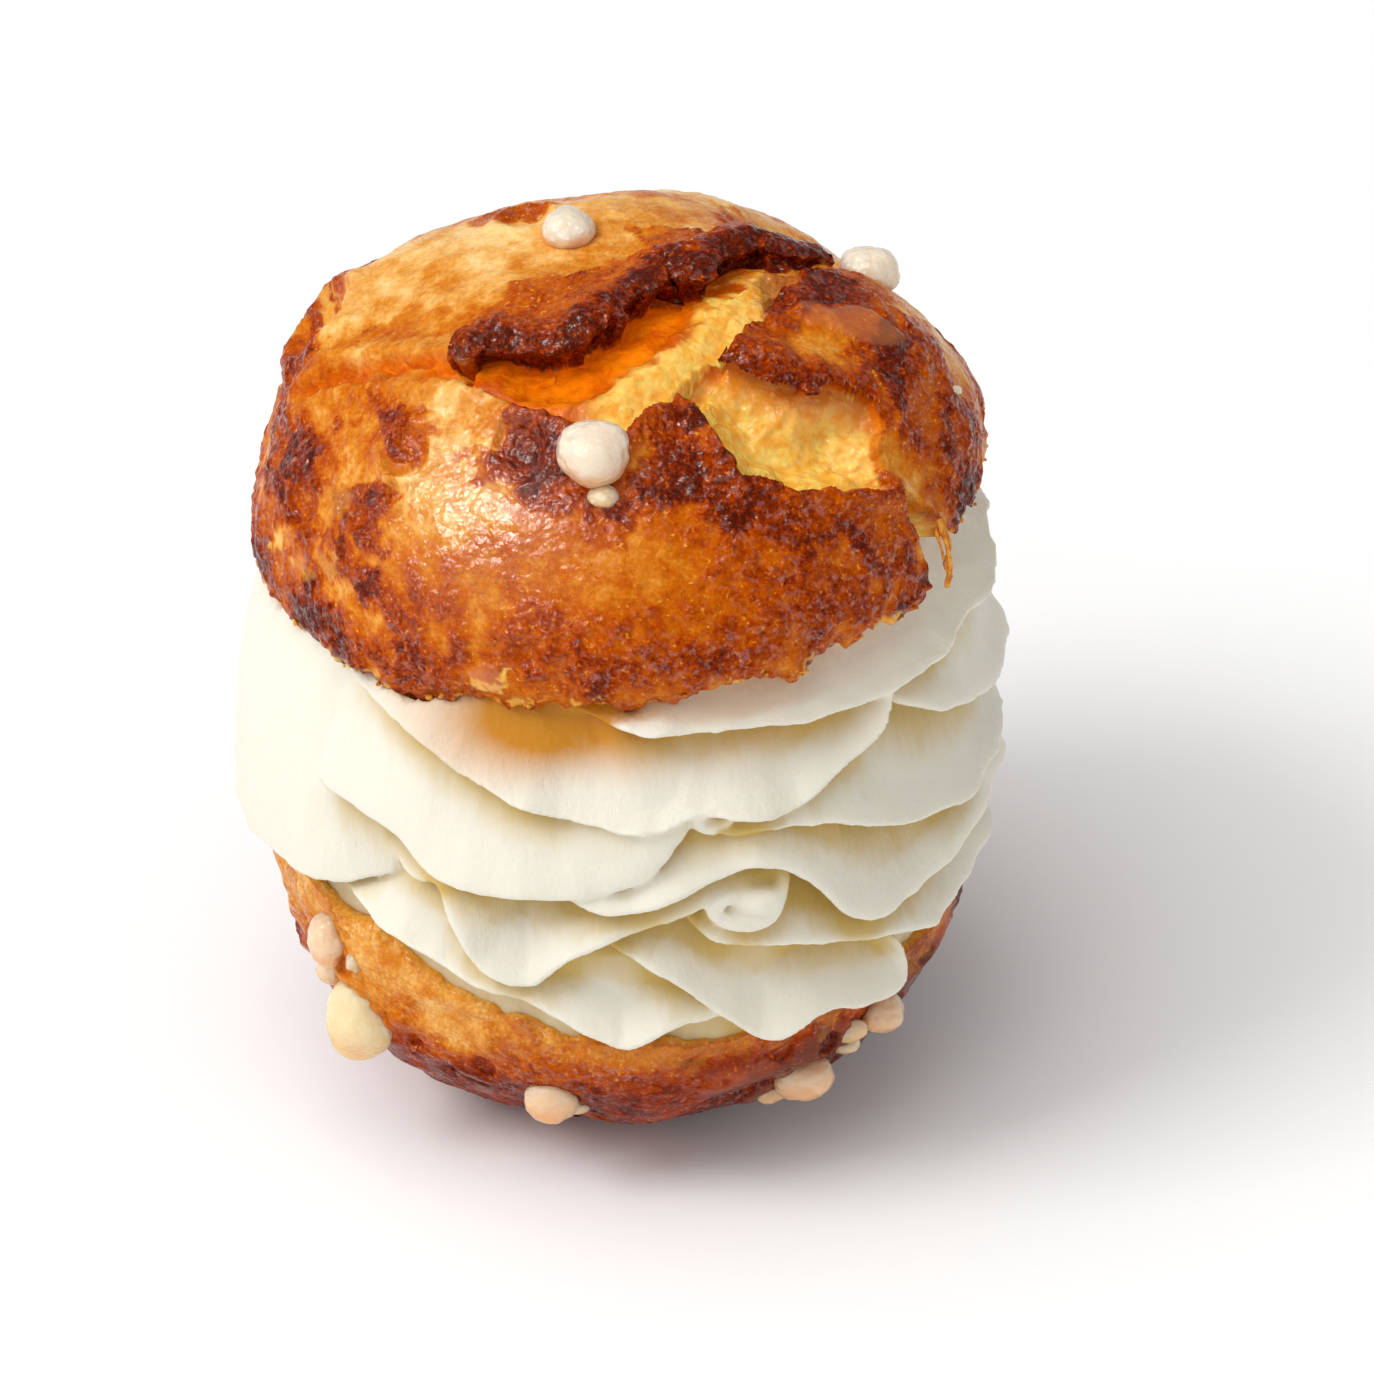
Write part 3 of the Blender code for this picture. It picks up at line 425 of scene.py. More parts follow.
def cap_point(angle, fall):
    angle, fall = np.broadcast_arrays(np.asarray(angle, float), np.asarray(fall, float))
    length = fall / 90.0 * CAP_QUARTER
    turn = np.radians(angle)
    chart = np.stack([length * np.sin(turn), -length * np.cos(turn)], axis=-1).reshape(-1, 2)
    height, slip, masks = cap_relief(chart)
    chart = chart + slip
    length = np.hypot(chart[:, 0], chart[:, 1])
    angle = np.degrees(np.arctan2(chart[:, 0], -chart[:, 1])).reshape(fall.shape)
    fall = (length / CAP_QUARTER * 90.0).reshape(fall.shape)
    out = around(angle, np.sin(np.radians(fall)), np.cos(np.radians(fall)))
    normal = out / CAP_AXES
    normal /= np.linalg.norm(normal, axis=-1, keepdims=True)
    return out * CAP_AXES + normal * height.reshape(fall.shape)[..., None], masks


def cap_rim(angle):
    teeth = waves(angle, [(2, 0.9, -40), (9, 0.6, 30), (17, 0.9, 100), (29, 0.9, 10)])
    ring = around(angle, 28.0, 0.0)
    teeth = teeth + 1.7 * noise(ring, 2.3, 81) + 1.5 * noise(ring, 1.1, 82) + 0.9 * noise(ring, 0.55, 85)
    short = CAP_TORN_SHORT * smoothstep(55.0, 62.0, angle) * (1.0 - smoothstep(95.0, 135.0, angle))
    return CAP_RIM_ANGLE + teeth - short


CAP_MASKS = ("tone", "gold", "orange_shade_and_glow", "glaze", "rough", "painted_emission", "wet")


def cap_mesh():
    angles = uneven_angles(392, 128, 100.0)
    rim = cap_rim(angles)
    shares = np.linspace(0.0, 1.0, 188)[1:]
    shares = shares + 0.035 * np.sin(2.0 * np.pi * shares)
    rings, masks = cap_point(angles[None, :], rim[None, :] * shares[:, None])
    curl = smoothstep(0.955, 1.0, shares)[:, None, None]
    rings = rings * (1.0 - 0.02 * curl * np.array([1.0, 1.0, 0.0]))
    under = np.stack([rings[-1] * (0.97, 0.97, 1.0) + (0.0, 0.0, 0.35), rings[-1] * (0.9, 0.9, 1.0) + (0.0, 0.0, 0.2),
                      rings[-1] * (0.6, 0.6, 1.0)])
    pole, pole_masks = cap_point(np.array([0.0]), np.array([0.0]))
    verts, faces = closed_grid(np.concatenate([rings, under]), pole, [[0.0, 0.0, under[-1, :, 2].mean()]])
    found = {}
    for mask in CAP_MASKS:
        below = {"tone": 0.4, "gold": 0.55, "rough": 1.0}.get(mask, 0.0)
        found[mask] = np.concatenate([masks[mask], np.full(under.shape[0] * len(angles), below), pole_masks[mask],
                                      [below]])
    turn, centre = cap_matrix()
    return mesh_from("crust_cap", verts @ turn.T + centre, faces, found)


# ---- The base --------------------------------------------------------------------------------------------------------


def base_radius(angle, height):
    heights, radii = np.transpose(BASE_WALL)
    wall = np.interp(height, heights, radii)
    away = 1.0 - smoothstep(0.0, 14.0, height)
    spread = BASE_SPREAD * away * 0.5 * (1.0 - np.cos(np.radians(angle)))
    swell = smoothstep(0.0, 8.0, height) * (1.0 - 0.6 * smoothstep(10.0, 17.0, height))
    lumps = waves(angle, [(5, 0.35, 80), (8, 0.3, 10), (13, 0.25, 55)]) * swell
    return wall + spread + lumps


def base_rim(angle):
    angles, heights = np.transpose(BASE_RIM)
    ring = around(angle, 28.0, 0.0)
    teeth = 0.4 * noise(ring, 2.4, 83) + 0.3 * noise(ring, 0.9, 84)
    return np.interp(angle, angles, heights) + waves(angle, [(9, 0.35, 20), (16, 0.3, 60)]) + teeth


def base_mesh():
    angles = uneven_angles(360, 150, 100.0)
    rim = base_rim(angles)
    shares = np.linspace(0.0, 1.0, 110) ** 1.25
    heights = shares[:, None] * rim[None, :]
    radii = base_radius(angles[None, :], heights)
    rings = around(np.broadcast_to(angles, radii.shape), radii, heights)
    p = rings.reshape(-1, 3)
    angle = np.broadcast_to(angles, radii.shape).ravel()
    share = np.repeat(shares, len(angles))
    # Darker towards the bottom and round the right-hand side, paler at the upper left front.
    tone = 0.46 + 0.10 * layered(p, 5.0, 91) + 0.11 * layered(p, 1.8, 92, 4, 0.6) + 0.38 * smoothstep(17.5, 10.5, p[:, 2])
    tone += 0.22 * smoothstep(5.0, 40.0, angle) * smoothstep(150.0, 100.0, angle)
    tone -= 0.14 * smoothstep(0.0, -30.0, angle) * smoothstep(-90.0, -60.0, angle) * smoothstep(0.4, 0.7, share)
    # Pits: sunk into the wall and also painted darker, painted shade in the hollows.
    pit = 0.7 * smoothstep(0.62, 0.76, noise(p, 2.6, 88)) * smoothstep(0.95, 0.85, share) * smoothstep(0.15, 0.3, share)
    tone = np.clip(tone + 0.18 * pit, 0.05, 0.95)
    gold = 0.32 * smoothstep(0.75, 0.95, share + 0.12 * layered(p, 1.8, 94, 4, 0.6))
    side = smoothstep(10.0, 35.0, angle) * smoothstep(90.0, 60.0, angle)
    glaze = smoothstep(0.30, 0.55, layered(p, 3.6, 90) + 0.40 * side * smoothstep(20.0, 14.0, p[:, 2]))
    glaze *= smoothstep(0.95, 0.8, share) * (1.0 - pit)
    rough = np.clip(0.3 + 0.7 * smoothstep(-0.2, 0.5, layered(p, 3.0, 95)), 0.0, 1.0) * (1.0 - glaze)
    relief = 0.34 * noise(p, 4.2, 96) + 0.26 * noise(p, 1.9, 97) + 0.3 * glaze - 0.4 * pit
    relief += (0.05 + 0.07 * rough) * (noise(p, 1.0, 98) + 0.8 * noise(p, 0.55, 99))
    relief *= smoothstep(0.0, 0.02, share)
    outward = around(angle, 1.0, 0.0)
    rings = (p + outward * relief[:, None]).reshape(rings.shape)
    lip = np.hypot(rings[-1][:, 0], rings[-1][:, 1])
    inner = np.stack([around(angles, lip - 0.6, rim + 0.25), around(angles, lip - 1.6, rim + 0.1),
                      around(angles, lip - 3.4, 0.5 * (rim + BASE_FLOOR)), around(angles, lip - 5.5, BASE_FLOOR)])
    verts, faces = closed_grid(np.concatenate([rings, inner])[::-1], [[0.0, 0.0, BASE_FLOOR]], [[0.0, 0.0, 0.0]])
    found = {}
    for mask, values, below in (("tone", tone, 0.35), ("gold", gold, 0.5), ("orange_shade_and_glow", 0.0 * tone, 0.0),
                                ("glaze", 0.45 * glaze, 0.0), ("rough", rough, 1.0), ("painted_emission", 0.0 * tone, 0.0),
                                ("wet", 0.0 * tone, 0.0)):
        grid = np.concatenate([values.reshape(radii.shape), np.full((4, len(angles)), below)])[::-1]
        found[mask] = np.concatenate([grid.ravel(), [below, 0.0]])
    return mesh_from("crust_base", verts, faces, found)


# ---- The cream -------------------------------------------------------------------------------------------------------

# The lower edge of each fold: angle, height, reach; then its length, how far it draws in, its curve and its flare.
CREAM_FOLDS = {
    "collar": ([(-12, 48.6, 25.0), (0, 47.2, 28.0), (20, 46.4, 28.9), (45, 46.2, 29.3), (75, 46.8, 29.2),
                (105, 46.8, 28.5), (140, 45.4, 28.4), (180, 43.6, 28.6), (220, 41.2, 29.2), (250, 40.4, 28.0)],
               5.0, 5.0, 0.8, 0.0),
    "spoon": ([(-56, 46.0, 25.5), (-40, 45.6, 28.0), (-27, 44.2, 29.2), (-13, 41.0, 30.0), (3, 39.5, 30.3),
               (12, 40.2, 30.2), (25, 39.5, 30.4), (34, 41.2, 30.2), (41, 43.4, 29.6), (45, 46.4, 28.4),
               (46, 49.0, 25.5)], 9.0, 4.6, 0.7, 0.8),
    "left_lobe": ([(-66, 37.5, 26.5), (-48, 36.2, 29.2), (-35, 35.3, 30.0), (-27, 33.4, 30.3), (-12, 32.9, 30.4),
                   (2, 34.6, 30.4), (8, 37.4, 30.0), (13, 41.0, 27.6)], 13.0, 4.6, 1.6, 0.7),
    "right_fan": ([(38, 47.0, 26.0), (46, 44.2, 28.8), (58, 41.3, 29.7), (68, 39.2, 30.0), (80, 37.4, 30.1),
                   (105, 37.0, 30.0), (135, 38.6, 29.4), (155, 41.0, 27.0)], 7.5, 3.4, 0.9, 0.8),
    "shelf": ([(5, 41.0, 26.8), (15, 38.3, 29.4), (27, 38.0, 30.2), (41, 35.2, 30.4), (56, 32.6, 30.4),
               (70, 31.0, 30.4), (88, 30.0, 30.2), (120, 31.5, 29.8), (150, 33.6, 28.2)], 9.0, 4.4, 0.8, 0.6),
    "apron": ([(-18, 34.6, 26.8), (-8, 32.6, 29.5), (0, 31.9, 30.1), (9, 33.3, 30.2), (20, 34.9, 30.1),
               (28, 33.0, 30.3), (36, 28.0, 30.5), (47, 26.4, 30.4), (60, 27.4, 30.3), (75, 28.6, 30.1),
               (100, 26.8, 29.8), (130, 27.4, 29.4), (150, 30.0, 27.5)], 9.0, 4.4, 1.1, 0.8),
    "drape": ([(-46, 33.4, 25.8), (-34, 30.8, 28.6), (-28, 31.4, 29.4), (-24, 28.3, 29.8), (-20, 24.9, 29.6),
               (-13, 24.2, 29.5), (-7, 27.4, 29.7), (3, 29.7, 29.8), (13, 31.9, 29.8), (20, 32.4, 29.6),
               (25, 33.6, 28.8), (27.5, 35.5, 26.8)], 8.0, 4.0, 1.1, 0.8),
    "inner_fold": ([(6, 32.6, 26.4), (13, 29.2, 29.0), (20, 27.2, 29.5), (31, 26.0, 29.8), (42, 24.2, 29.8),
                    (55, 22.0, 29.6), (68, 21.8, 29.4), (82, 23.4, 29.2), (110, 22.8, 28.8), (140, 22.8, 28.6),
                    (160, 25.0, 26.5)], 8.0, 3.8, 1.0, 0.7),
    "front_petal": ([(-9, 30.0, 26.2), (1, 27.4, 28.6), (8, 24.5, 29.2), (15, 20.9, 29.3), (23, 17.9, 29.1),
                     (31, 19.2, 29.5), (41, 18.2, 29.6), (48, 18.6, 29.5), (47, 21.6, 28.8), (40, 25.4, 26.6)],
                    8.0, 3.4, 0.9, 0.8),
    "low_hem": ([(-54, 28.0, 26.8), (-42, 26.0, 28.6), (-33, 25.2, 28.9), (-22, 23.2, 29.1), (-12, 21.4, 29.1),
                 (-5, 20.0, 29.1), (1, 18.6, 28.9), (8, 20.0, 28.8), (16, 20.4, 28.2), (26, 23.0, 26.0)],
                8.0, 3.4, 0.9, 0.7),
    "left_cheek": ([(-130, 30.0, 26.0), (-108, 28.0, 29.4), (-88, 26.2, 30.5), (-70, 25.8, 30.5), (-56, 26.6, 30.1),
                    (-46, 28.0, 29.2), (-34, 31.4, 26.0)], 22.0, 4.6, 2.6, 0.2),
    "back_skirt": ([(90, 25.0, 26.5), (120, 23.6, 28.8), (150, 22.4, 29.0), (180, 23.8, 29.2), (210, 22.6, 29.2),
                    (240, 24.4, 29.2), (262, 25.6, 29.0), (285, 27.6, 27.0)], 8.0, 3.6, 0.9, 0.8),
    "back_ruffle": ([(120, 31.0, 27.2), (145, 29.6, 29.2), (175, 31.0, 29.6), (205, 29.2, 29.6), (235, 30.4, 29.5),
                     (258, 29.6, 29.2), (280, 32.0, 27.6)], 9.0, 4.2, 0.9, 0.8),
    "back_shelf": ([(140, 40.0, 27.0), (165, 37.4, 29.2), (195, 38.6, 29.4), (222, 36.4, 29.6), (250, 37.0, 29.4),
                    (275, 38.8, 27.4)], 8.0, 3.8, 0.8, 0.8),
}
# The front edges of rolled ends (angle, height, reach) and how deep they run.
CREAM_CURLS = [
    ([(19.8, 31.3, 29.0), (17.6, 31.9, 29.5), (15.2, 31.9, 29.7), (14.0, 31.1, 29.7), (15.2, 30.2, 29.7),
      (17.3, 29.6, 29.8), (20.1, 29.3, 29.9), (22.6, 29.7, 29.9), (23.9, 31.0, 29.8), (24.8, 32.6, 29.5),
      (25.0, 34.2, 29.0)], 4.0, 1.25),
    ([(13.3, 39.5, 29.0), (14.6, 38.9, 29.3), (16.2, 39.1, 29.5), (16.4, 40.0, 29.6), (14.8, 40.5, 29.6),
      (12.6, 40.1, 29.6), (11.6, 39.2, 29.6), (12.6, 38.6, 29.5), (14.5, 38.3, 29.5)], 3.0, 0.9),
]
FOLD_EDGE = 0.7
FOLD_THICKENING = 0.26
CREAM_VOXEL = 0.25
CREAM_FACES = 190000


def join_parts(parts):
    """One list of vertices and one of faces from several."""
    verts, faces, count = [], [], 0
    for points, polys in parts:
        verts.append(points)
        faces.extend([[i + count for i in poly] for poly in polys])
        count += len(points)
    return np.vstack(verts), faces


def curve_through(points, step):
    rows = np.asarray(points, float)
    rows = np.vstack([2 * rows[0] - rows[1], rows, 2 * rows[-1] - rows[-2]])
    found = []
    for p0, p1, p2, p3 in zip(rows[:-3], rows[1:-2], rows[2:-1], rows[3:]):
        span = np.linalg.norm((p2 - p1) * (np.radians(CREAM_RADIUS), 1.0, 1.0))
        for t in np.arange(0.0, 1.0, 1.0 / max(2, round(span / step))):
            found.append(0.5 * (2 * p1 + (p2 - p0) * t + (2 * p0 - 5 * p1 + 4 * p2 - p3) * t**2
                                + (3 * p1 - p0 - 3 * p2 + p3) * t**3))
    return np.array(found + [rows[-2]])


def fold(edge, length, draw, curve, flare, seed):
    """One fold of cream: a thin lip that thickens upwards, with fine grooves left by the nozzle."""
    rows = curve_through(edge, 0.3)
    flat = rows[:, :2] * (np.radians(CREAM_RADIUS), 1.0)
    run = np.concatenate([[0.0], np.cumsum(np.linalg.norm(np.diff(flat, axis=0), axis=1))])
    tangent = np.gradient(flat, axis=0)
    tangent /= np.linalg.norm(tangent, axis=1, keepdims=True)
    body = np.stack([-tangent[:, 1], tangent[:, 0]], axis=1) + (0.0, 1.0)
    body /= np.linalg.norm(body, axis=1, keepdims=True)
    line = np.stack([run, np.zeros_like(run), np.zeros_like(run)], axis=1)
    fray = 0.35 * noise(line, 5.5, seed) + 0.10 * noise(line, 1.7, seed + 1) + 0.05 * noise(line, 0.8, seed + 5)
    sway = 0.55 * noise(line, 4.5, seed + 2)
    groove = 0.13 * noise(line, 2.1, seed + 3) + 0.05 * noise(line, 1.0, seed + 4)
    along = np.linspace(0.0, 1.0, 22) ** 1.3
    outer = np.stack([along * length, -draw * along**curve - 0.6 * flare * smoothstep(0.0, 0.35, along)], axis=1)
    inner = outer - np.stack([0.0 * along, FOLD_EDGE + FOLD_THICKENING * along * length], axis=1)
    turn = np.radians([0.0, 30.0, 60.0, 90.0, 120.0, 150.0, 180.0])
    lip = 0.5 * FOLD_EDGE * np.stack([-np.sin(turn), np.cos(turn) - 1.0], axis=1)
    section = np.vstack([outer[:0:-1], lip, inner[1:]])
    fade = np.exp(-np.clip(section[:, 0], 0.0, None) / 4.5)
    held = np.concatenate([np.ones(len(outer) + 2), np.zeros(len(section) - len(outer) - 2)])
    turn = rows[:, :1] + np.degrees(section[None, :, 0] * body[:, :1] / CREAM_RADIUS)
    reach = rows[:, 2:] + section[None, :, 1] + fade * (sway[:, None] + held * groove[:, None])
    height = rows[:, 1:2] + section[None, :, 0] * body[:, 1:] + fade * fray[:, None]
    rings = around(turn, reach, height)
    return closed_grid(rings, rings[0].mean(axis=0, keepdims=True), rings[-1].mean(axis=0, keepdims=True))


def curl(path, deep, thick):
    """A rolled end of a fold: a thin sheet that runs inwards from the line of its edge."""
    rows = curve_through(path, 0.25)
    flat = rows[:, :2] * (np.radians(CREAM_RADIUS), 1.0)
    tangent = np.gradient(flat, axis=0)
    tangent /= np.linalg.norm(tangent, axis=1, keepdims=True)
    side = np.stack([-tangent[:, 1], tangent[:, 0]], axis=1)
    section = [(-0.5, -deep), (-0.5, -0.25), (-0.3, 0.0), (0.0, 0.1), (0.3, 0.0), (0.5, -0.25), (0.5, -deep)]
    rings = np.stack([around(rows[:, 0] + np.degrees(thick * across * side[:, 0] / CREAM_RADIUS), rows[:, 2] + inwards,
                             rows[:, 1] + thick * across * side[:, 1]) for across, inwards in section], axis=1)
    return closed_grid(rings, rings[0].mean(axis=0, keepdims=True), rings[-1].mean(axis=0, keepdims=True))


def core():
    profile = [(21.0, BASE_FLOOR - 1.0), (CREAM_CORE_RADIUS + 1.6, BASE_FLOOR + 1.5), (CREAM_CORE_RADIUS + 2.0, 26.0),
               (CREAM_CORE_RADIUS + 0.8, 30.0), (CREAM_CORE_RADIUS + 0.6, 38.0), (CREAM_CORE_RADIUS, 45.0),
               (CREAM_CORE_RADIUS - 1.0, CREAM_TOP + 1.5)]
    angles = np.arange(180) * 2.0
    rings = np.stack([around(angles, radius, height) for radius, height in profile])
    return closed_grid(rings, [[0.0, 0.0, profile[0][1]]], [[0.0, 0.0, profile[-1][1]]])


def overhang(angle, height, radius, reach):
    """How far the cream within reach mm above each vertex stands out beyond it."""
    columns, step = 720, 0.25
    column = angle % 360.0 * columns / 360.0
    row = (height - 10.0) / step
    grid = np.zeros((columns, int(row.max()) + 2))
    np.maximum.at(grid, (column.astype(int) % columns, np.clip(row.astype(int), 0, None)), radius)
    for _ in range(2):
        grid = np.maximum(grid, np.maximum(np.roll(grid, 1, axis=0), np.roll(grid, -1, axis=0)))
        grid[:, 1:-1] = np.maximum(grid[:, 1:-1], np.minimum(grid[:, 2:], grid[:, :-2]))
    for _ in range(int(reach / step)):
        grid[:, :-1] = np.maximum(grid[:, :-1], grid[:, 1:])
    for _ in range(12):
        grid = (grid + np.roll(grid, 1, axis=0) + np.roll(grid, -1, axis=0)) / 3.0
    left, low = np.floor(column - 0.5).astype(int), np.clip(np.floor(row - 0.5).astype(int), 0, grid.shape[1] - 2)
    u, v = column - 0.5 - left, np.clip(row - 0.5 - low, 0.0, 1.0)
    near, far = left % columns, (left + 1) % columns
    above = ((grid[near, low] * (1 - v) + grid[near, low + 1] * v) * (1 - u)
             + (grid[far, low] * (1 - v) + grid[far, low + 1] * v) * u)
    return np.clip(above - radius, 0.0, None)


def spread(mesh, values, rounds):
    """Evens a mask out over neighbouring vertices."""
    pairs = np.empty(2 * len(mesh.edges), np.int32)
    mesh.edges.foreach_get("vertices", pairs)
    a, b = pairs.reshape(-1, 2).T
    count = len(values)
    share = np.bincount(a, minlength=count) + np.bincount(b, minlength=count)
    for _ in range(rounds):
        total = np.bincount(a, values[b], count) + np.bincount(b, values[a], count)
        values = 0.5 * values + 0.5 * total / np.maximum(share, 1)
    return values


def cream_piece(look):
    parts = [core()] + [fold(*shape, seed=200 + 10 * i) for i, shape in enumerate(CREAM_FOLDS.values())]
    parts += [curl(*shape) for shape in CREAM_CURLS]
    parts.append((around(20.6, 28.6, 31.2) + BALL[0] * (2.4, 1.5, 1.5), BALL[1]))
    obj = place("whipped_cream", mesh_from("whipped_cream", *join_parts(parts)), look)
    remesh = obj.modifiers.new("one skin", "REMESH")
    remesh.mode = "VOXEL"
    remesh.voxel_size = CREAM_VOXEL * MM
    soften = obj.modifiers.new("soften", "SMOOTH")
    soften.factor = 0.5
    soften.iterations = 3
    bake(obj)
    obj.data.calc_loop_triangles()
    thin = obj.modifiers.new("thin out", "DECIMATE")
    thin.ratio = min(1.0, CREAM_FACES / len(obj.data.loop_triangles))
    bake(obj)
    p = vertices(obj.data)

    # Nothing of it stands in the cap: what would is levelled just under the crust.
    turn, centre = cap_matrix()
    local = (p - centre) @ turn
    angle = np.degrees(np.arctan2(local[:, 0], -local[:, 1]))
    table = np.linspace(-180.0, 180.0, 721)
    rim = cap_rim(table)
    rim_radius = np.interp(angle, table, 28.4 * np.sin(np.radians(rim)))
    rim_height = np.interp(angle, table, CAP_AXES[2] * np.cos(np.radians(rim)))
    within = np.hypot(local[:, 0], local[:, 1]) < rim_radius - 0.1
    local[:, 2] = np.where(within, np.minimum(local[:, 2], rim_height - 0.05), local[:, 2])
    p = local @ turn.T + centre
    long = p * (1.0, 1.0, 0.45)
    p[:, :2] *= (1.0 + (0.10 * noise(long, 2.1, 61) + 0.045 * noise(long, 0.95, 62)) / 29.0)[:, None]

    angle = np.degrees(np.arctan2(p[:, 0], -p[:, 1]))
    radius = np.hypot(p[:, 0], p[:, 1])
    set_vertices(obj.data, p)
    # Painted shade: cream just below each overhanging lip is coloured darker and yellower, standing in for the shade
    # and the yellowed light in the creases.
    wide = overhang(angle, p[:, 2], radius, 4.0)
    near = overhang(angle, p[:, 2], radius, 2.25)
    crease_shade = np.clip(0.6 * smoothstep(0.5, 3.0, wide) + 0.85 * smoothstep(0.3, 1.4, near), 0.0, 1.0)
    crease_shade = spread(obj.data, crease_shade, 6)
    # Painted bounce light: an orange glow on the cream just below the crust's rim at the front, standing in for light
    # thrown back from the crust, and a fainter peach band to its right, painted shade under the collar; the collar's
    # own lip is left out.
    below = 46.8 - p[:, 2]
    front = np.exp(-(((angle + 11.0) / 17.0) ** 2)) * smoothstep(5.6, 0.6, below)
    side = 0.22 * np.exp(-(((angle - 18.0) / 22.0) ** 2)) * smoothstep(6.0, 1.5, below)
    collar = smoothstep(-14.0, -4.0, angle) * smoothstep(45.0, 45.8, p[:, 2]) * smoothstep(27.4, 28.0, radius)
    bounce_glow = np.maximum(front, side) * (1.0 - collar) 
    for name, values in (("crease_shade", crease_shade), ("bounce_glow", np.clip(1.4 * bounce_glow, 0.0, 1.0))):
        obj.data.attributes.new(name, "FLOAT", "POINT").data.foreach_set("value", values.astype(np.float32))
    obj.data.shade_smooth()
    return obj


# ---- The sugar -------------------------------------------------------------------------------------------------------

CAP_NIBS = {
    "front": (-0.6, -19.6, (2.7, 3.3, 2.2)),
    "top": (-1.0, 3.4, (2.1, 2.4, 1.7)),
    "right": (19.4, 6.0, (2.8, 2.2, 1.9)),
    "back": (4.0, 27.0, (2.4, 2.0, 1.7)),
}
BASE_NIBS = {
    "left_drop": (-53, 10.0, (2.4, 3.2, 2.2)),
    "left_upper": (-56, 17.4, (2.3, 2.6, 1.5)),
    "front": (-13, 8.6, (2.2, 1.9, 1.8)),
    "right": (37, 8.0, (2.9, 1.9, 1.6)),
    "right_upper": (56, 9.6, (2.2, 1.8, 1.2)),
    "back_left": (-150, 7.4, (2.5, 2.0, 1.7)),
    "back_right": (128, 9.0, (2.2, 2.3, 1.7)),
}


def sugar_lump(seed, square=0.0):
    """A half-melted grain of unit size: softly lumpy, finely grained; and how far down each point lies."""
    p = BALL[0]
    lump = 1.0 + 0.12 * noise(p, 1.2, seed) + 0.07 * noise(p, 0.6, seed + 1) + 0.035 * noise(p, 0.27, seed + 2)
    p = p * lump[:, None] * (1.0 + square * (1.0 - np.abs(p).max(axis=1)))[:, None]
    melt = smoothstep(0.5, -0.7, p[:, 2] + 0.35 * noise(p, 0.9, seed + 3))
    return p, melt


NIB_SWELL = {"sugar_base_left_drop": np.array([1.3, 1.0, 1.0])}
NIB_NUDGE = {"sugar_base_left_drop": np.array([0.6, -0.3, 0.0]), "sugar_cap_front": np.array([0.0, 0.2, 0.35])}


def nib_mesh(name, low, high, seed):
    """A grain that fills the box of its solid."""
    p, melt = sugar_lump(seed, 0.05)
    reach, middle = 0.5 * (high - low) * NIB_SWELL.get(name, 1.0), 0.5 * (high + low) + NIB_NUDGE.get(name, 0.0)
    p = p / np.abs(p).max(axis=0) * reach + middle
    return mesh_from(name, p, BALL[1], {"melt": melt})


# Smaller beads of melted sugar: on the cap by place on its chart, on the base by angle and height; then the radii.
CAP_BEADS = [(0.0, -22.5, (1.15, 1.15, 0.8)), (27.6, -5.0, (0.5, 0.5, 0.3))]
BASE_BEADS = [(-46.7, 19.4, (0.8, 0.7, 0.9)), (19.6, 12.6, (0.6, 0.5, 0.6)), (42.0, 13.0, (1.7, 0.9, 1.0)),
              (44.5, 10.4, (1.4, 0.8, 0.9)), (29.6, 7.6, (1.4, 0.8, 1.0)), (-8.6, 8.6, (1.1, 0.8, 0.8)),
              (-55.0, 16.0, (1.2, 0.9, 1.3)), (-47.0, 10.8, (1.0, 0.8, 0.9))]


def sugar_beads(look):
    turn, centre = cap_matrix()
    spots, radii = [], []
    for x, y, size in CAP_BEADS:
        spot, _ = cap_point(np.degrees(np.arctan2(x, -y)), np.hypot(x, y) / CAP_QUARTER * 90.0)
        spots.append(spot.reshape(3) @ turn.T + centre)
        radii.append(size)
    for angle, height, size in BASE_BEADS:
        spots.append(around(angle, base_radius(angle, height), height))
        radii.append(size)
    parts, melts = [], []
    for number, (spot, size) in enumerate(zip(spots, radii)):
        shape, melt = sugar_lump(600 + 5 * number)
        parts.append((shape * size + spot + SHIFT, BALL[1]))
        melts.append(melt)
    mesh = mesh_from("sugar_beads", *join_parts(parts), {"melt": np.concatenate(melts)})
    return place("sugar_beads", mesh, look)


def scattered(name, spots, sizes, look, seed):
    """Many tiny irregular lumps in one mesh."""
    rng = np.random.default_rng(seed)
    shape, polys = ball(2)
    verts, faces = [], []
    for number, (spot, size) in enumerate(zip(spots, sizes)):
        p = shape * (1.0 + 0.35 * noise(shape, 0.9, seed + number))[:, None] * rng.uniform(0.6, 1.2, 3) * size
        faces.extend([[i + len(shape) * number for i in poly] for poly in polys])
        verts.append(p + spot)
    return place(name, mesh_from(name, np.vstack(verts) + SHIFT, faces), look)


def fine_curve(points, steps):
    rows = np.asarray(points, float)
    rows = np.vstack([2 * rows[0] - rows[1], rows, 2 * rows[-1] - rows[-2]])
    found = []
    for p0, p1, p2, p3 in zip(rows[:-3], rows[1:-2], rows[2:-1], rows[3:]):
        for t in np.arange(steps) / steps:
            found.append(0.5 * (2 * p1 + (p2 - p0) * t + (2 * p0 - 5 * p1 + 4 * p2 - p3) * t**2
                                + (3 * p1 - p0 - 3 * p2 + p3) * t**3))
    return np.array(found + [rows[-2]])


def rim_crumbs(count, seed):
    """Spots along the torn rim of the cap, and their sizes."""
    rng = np.random.default_rng(seed)
    angle = rng.uniform(-180.0, 180.0, count)
    chart_fall = cap_rim(angle) - rng.uniform(0.2, 3.0, count)
    spots, _ = cap_point(angle, chart_fall)
    turn, centre = cap_matrix()
    return (spots * 0.99) @ turn.T + centre, rng.uniform(0.10, 0.30, count)


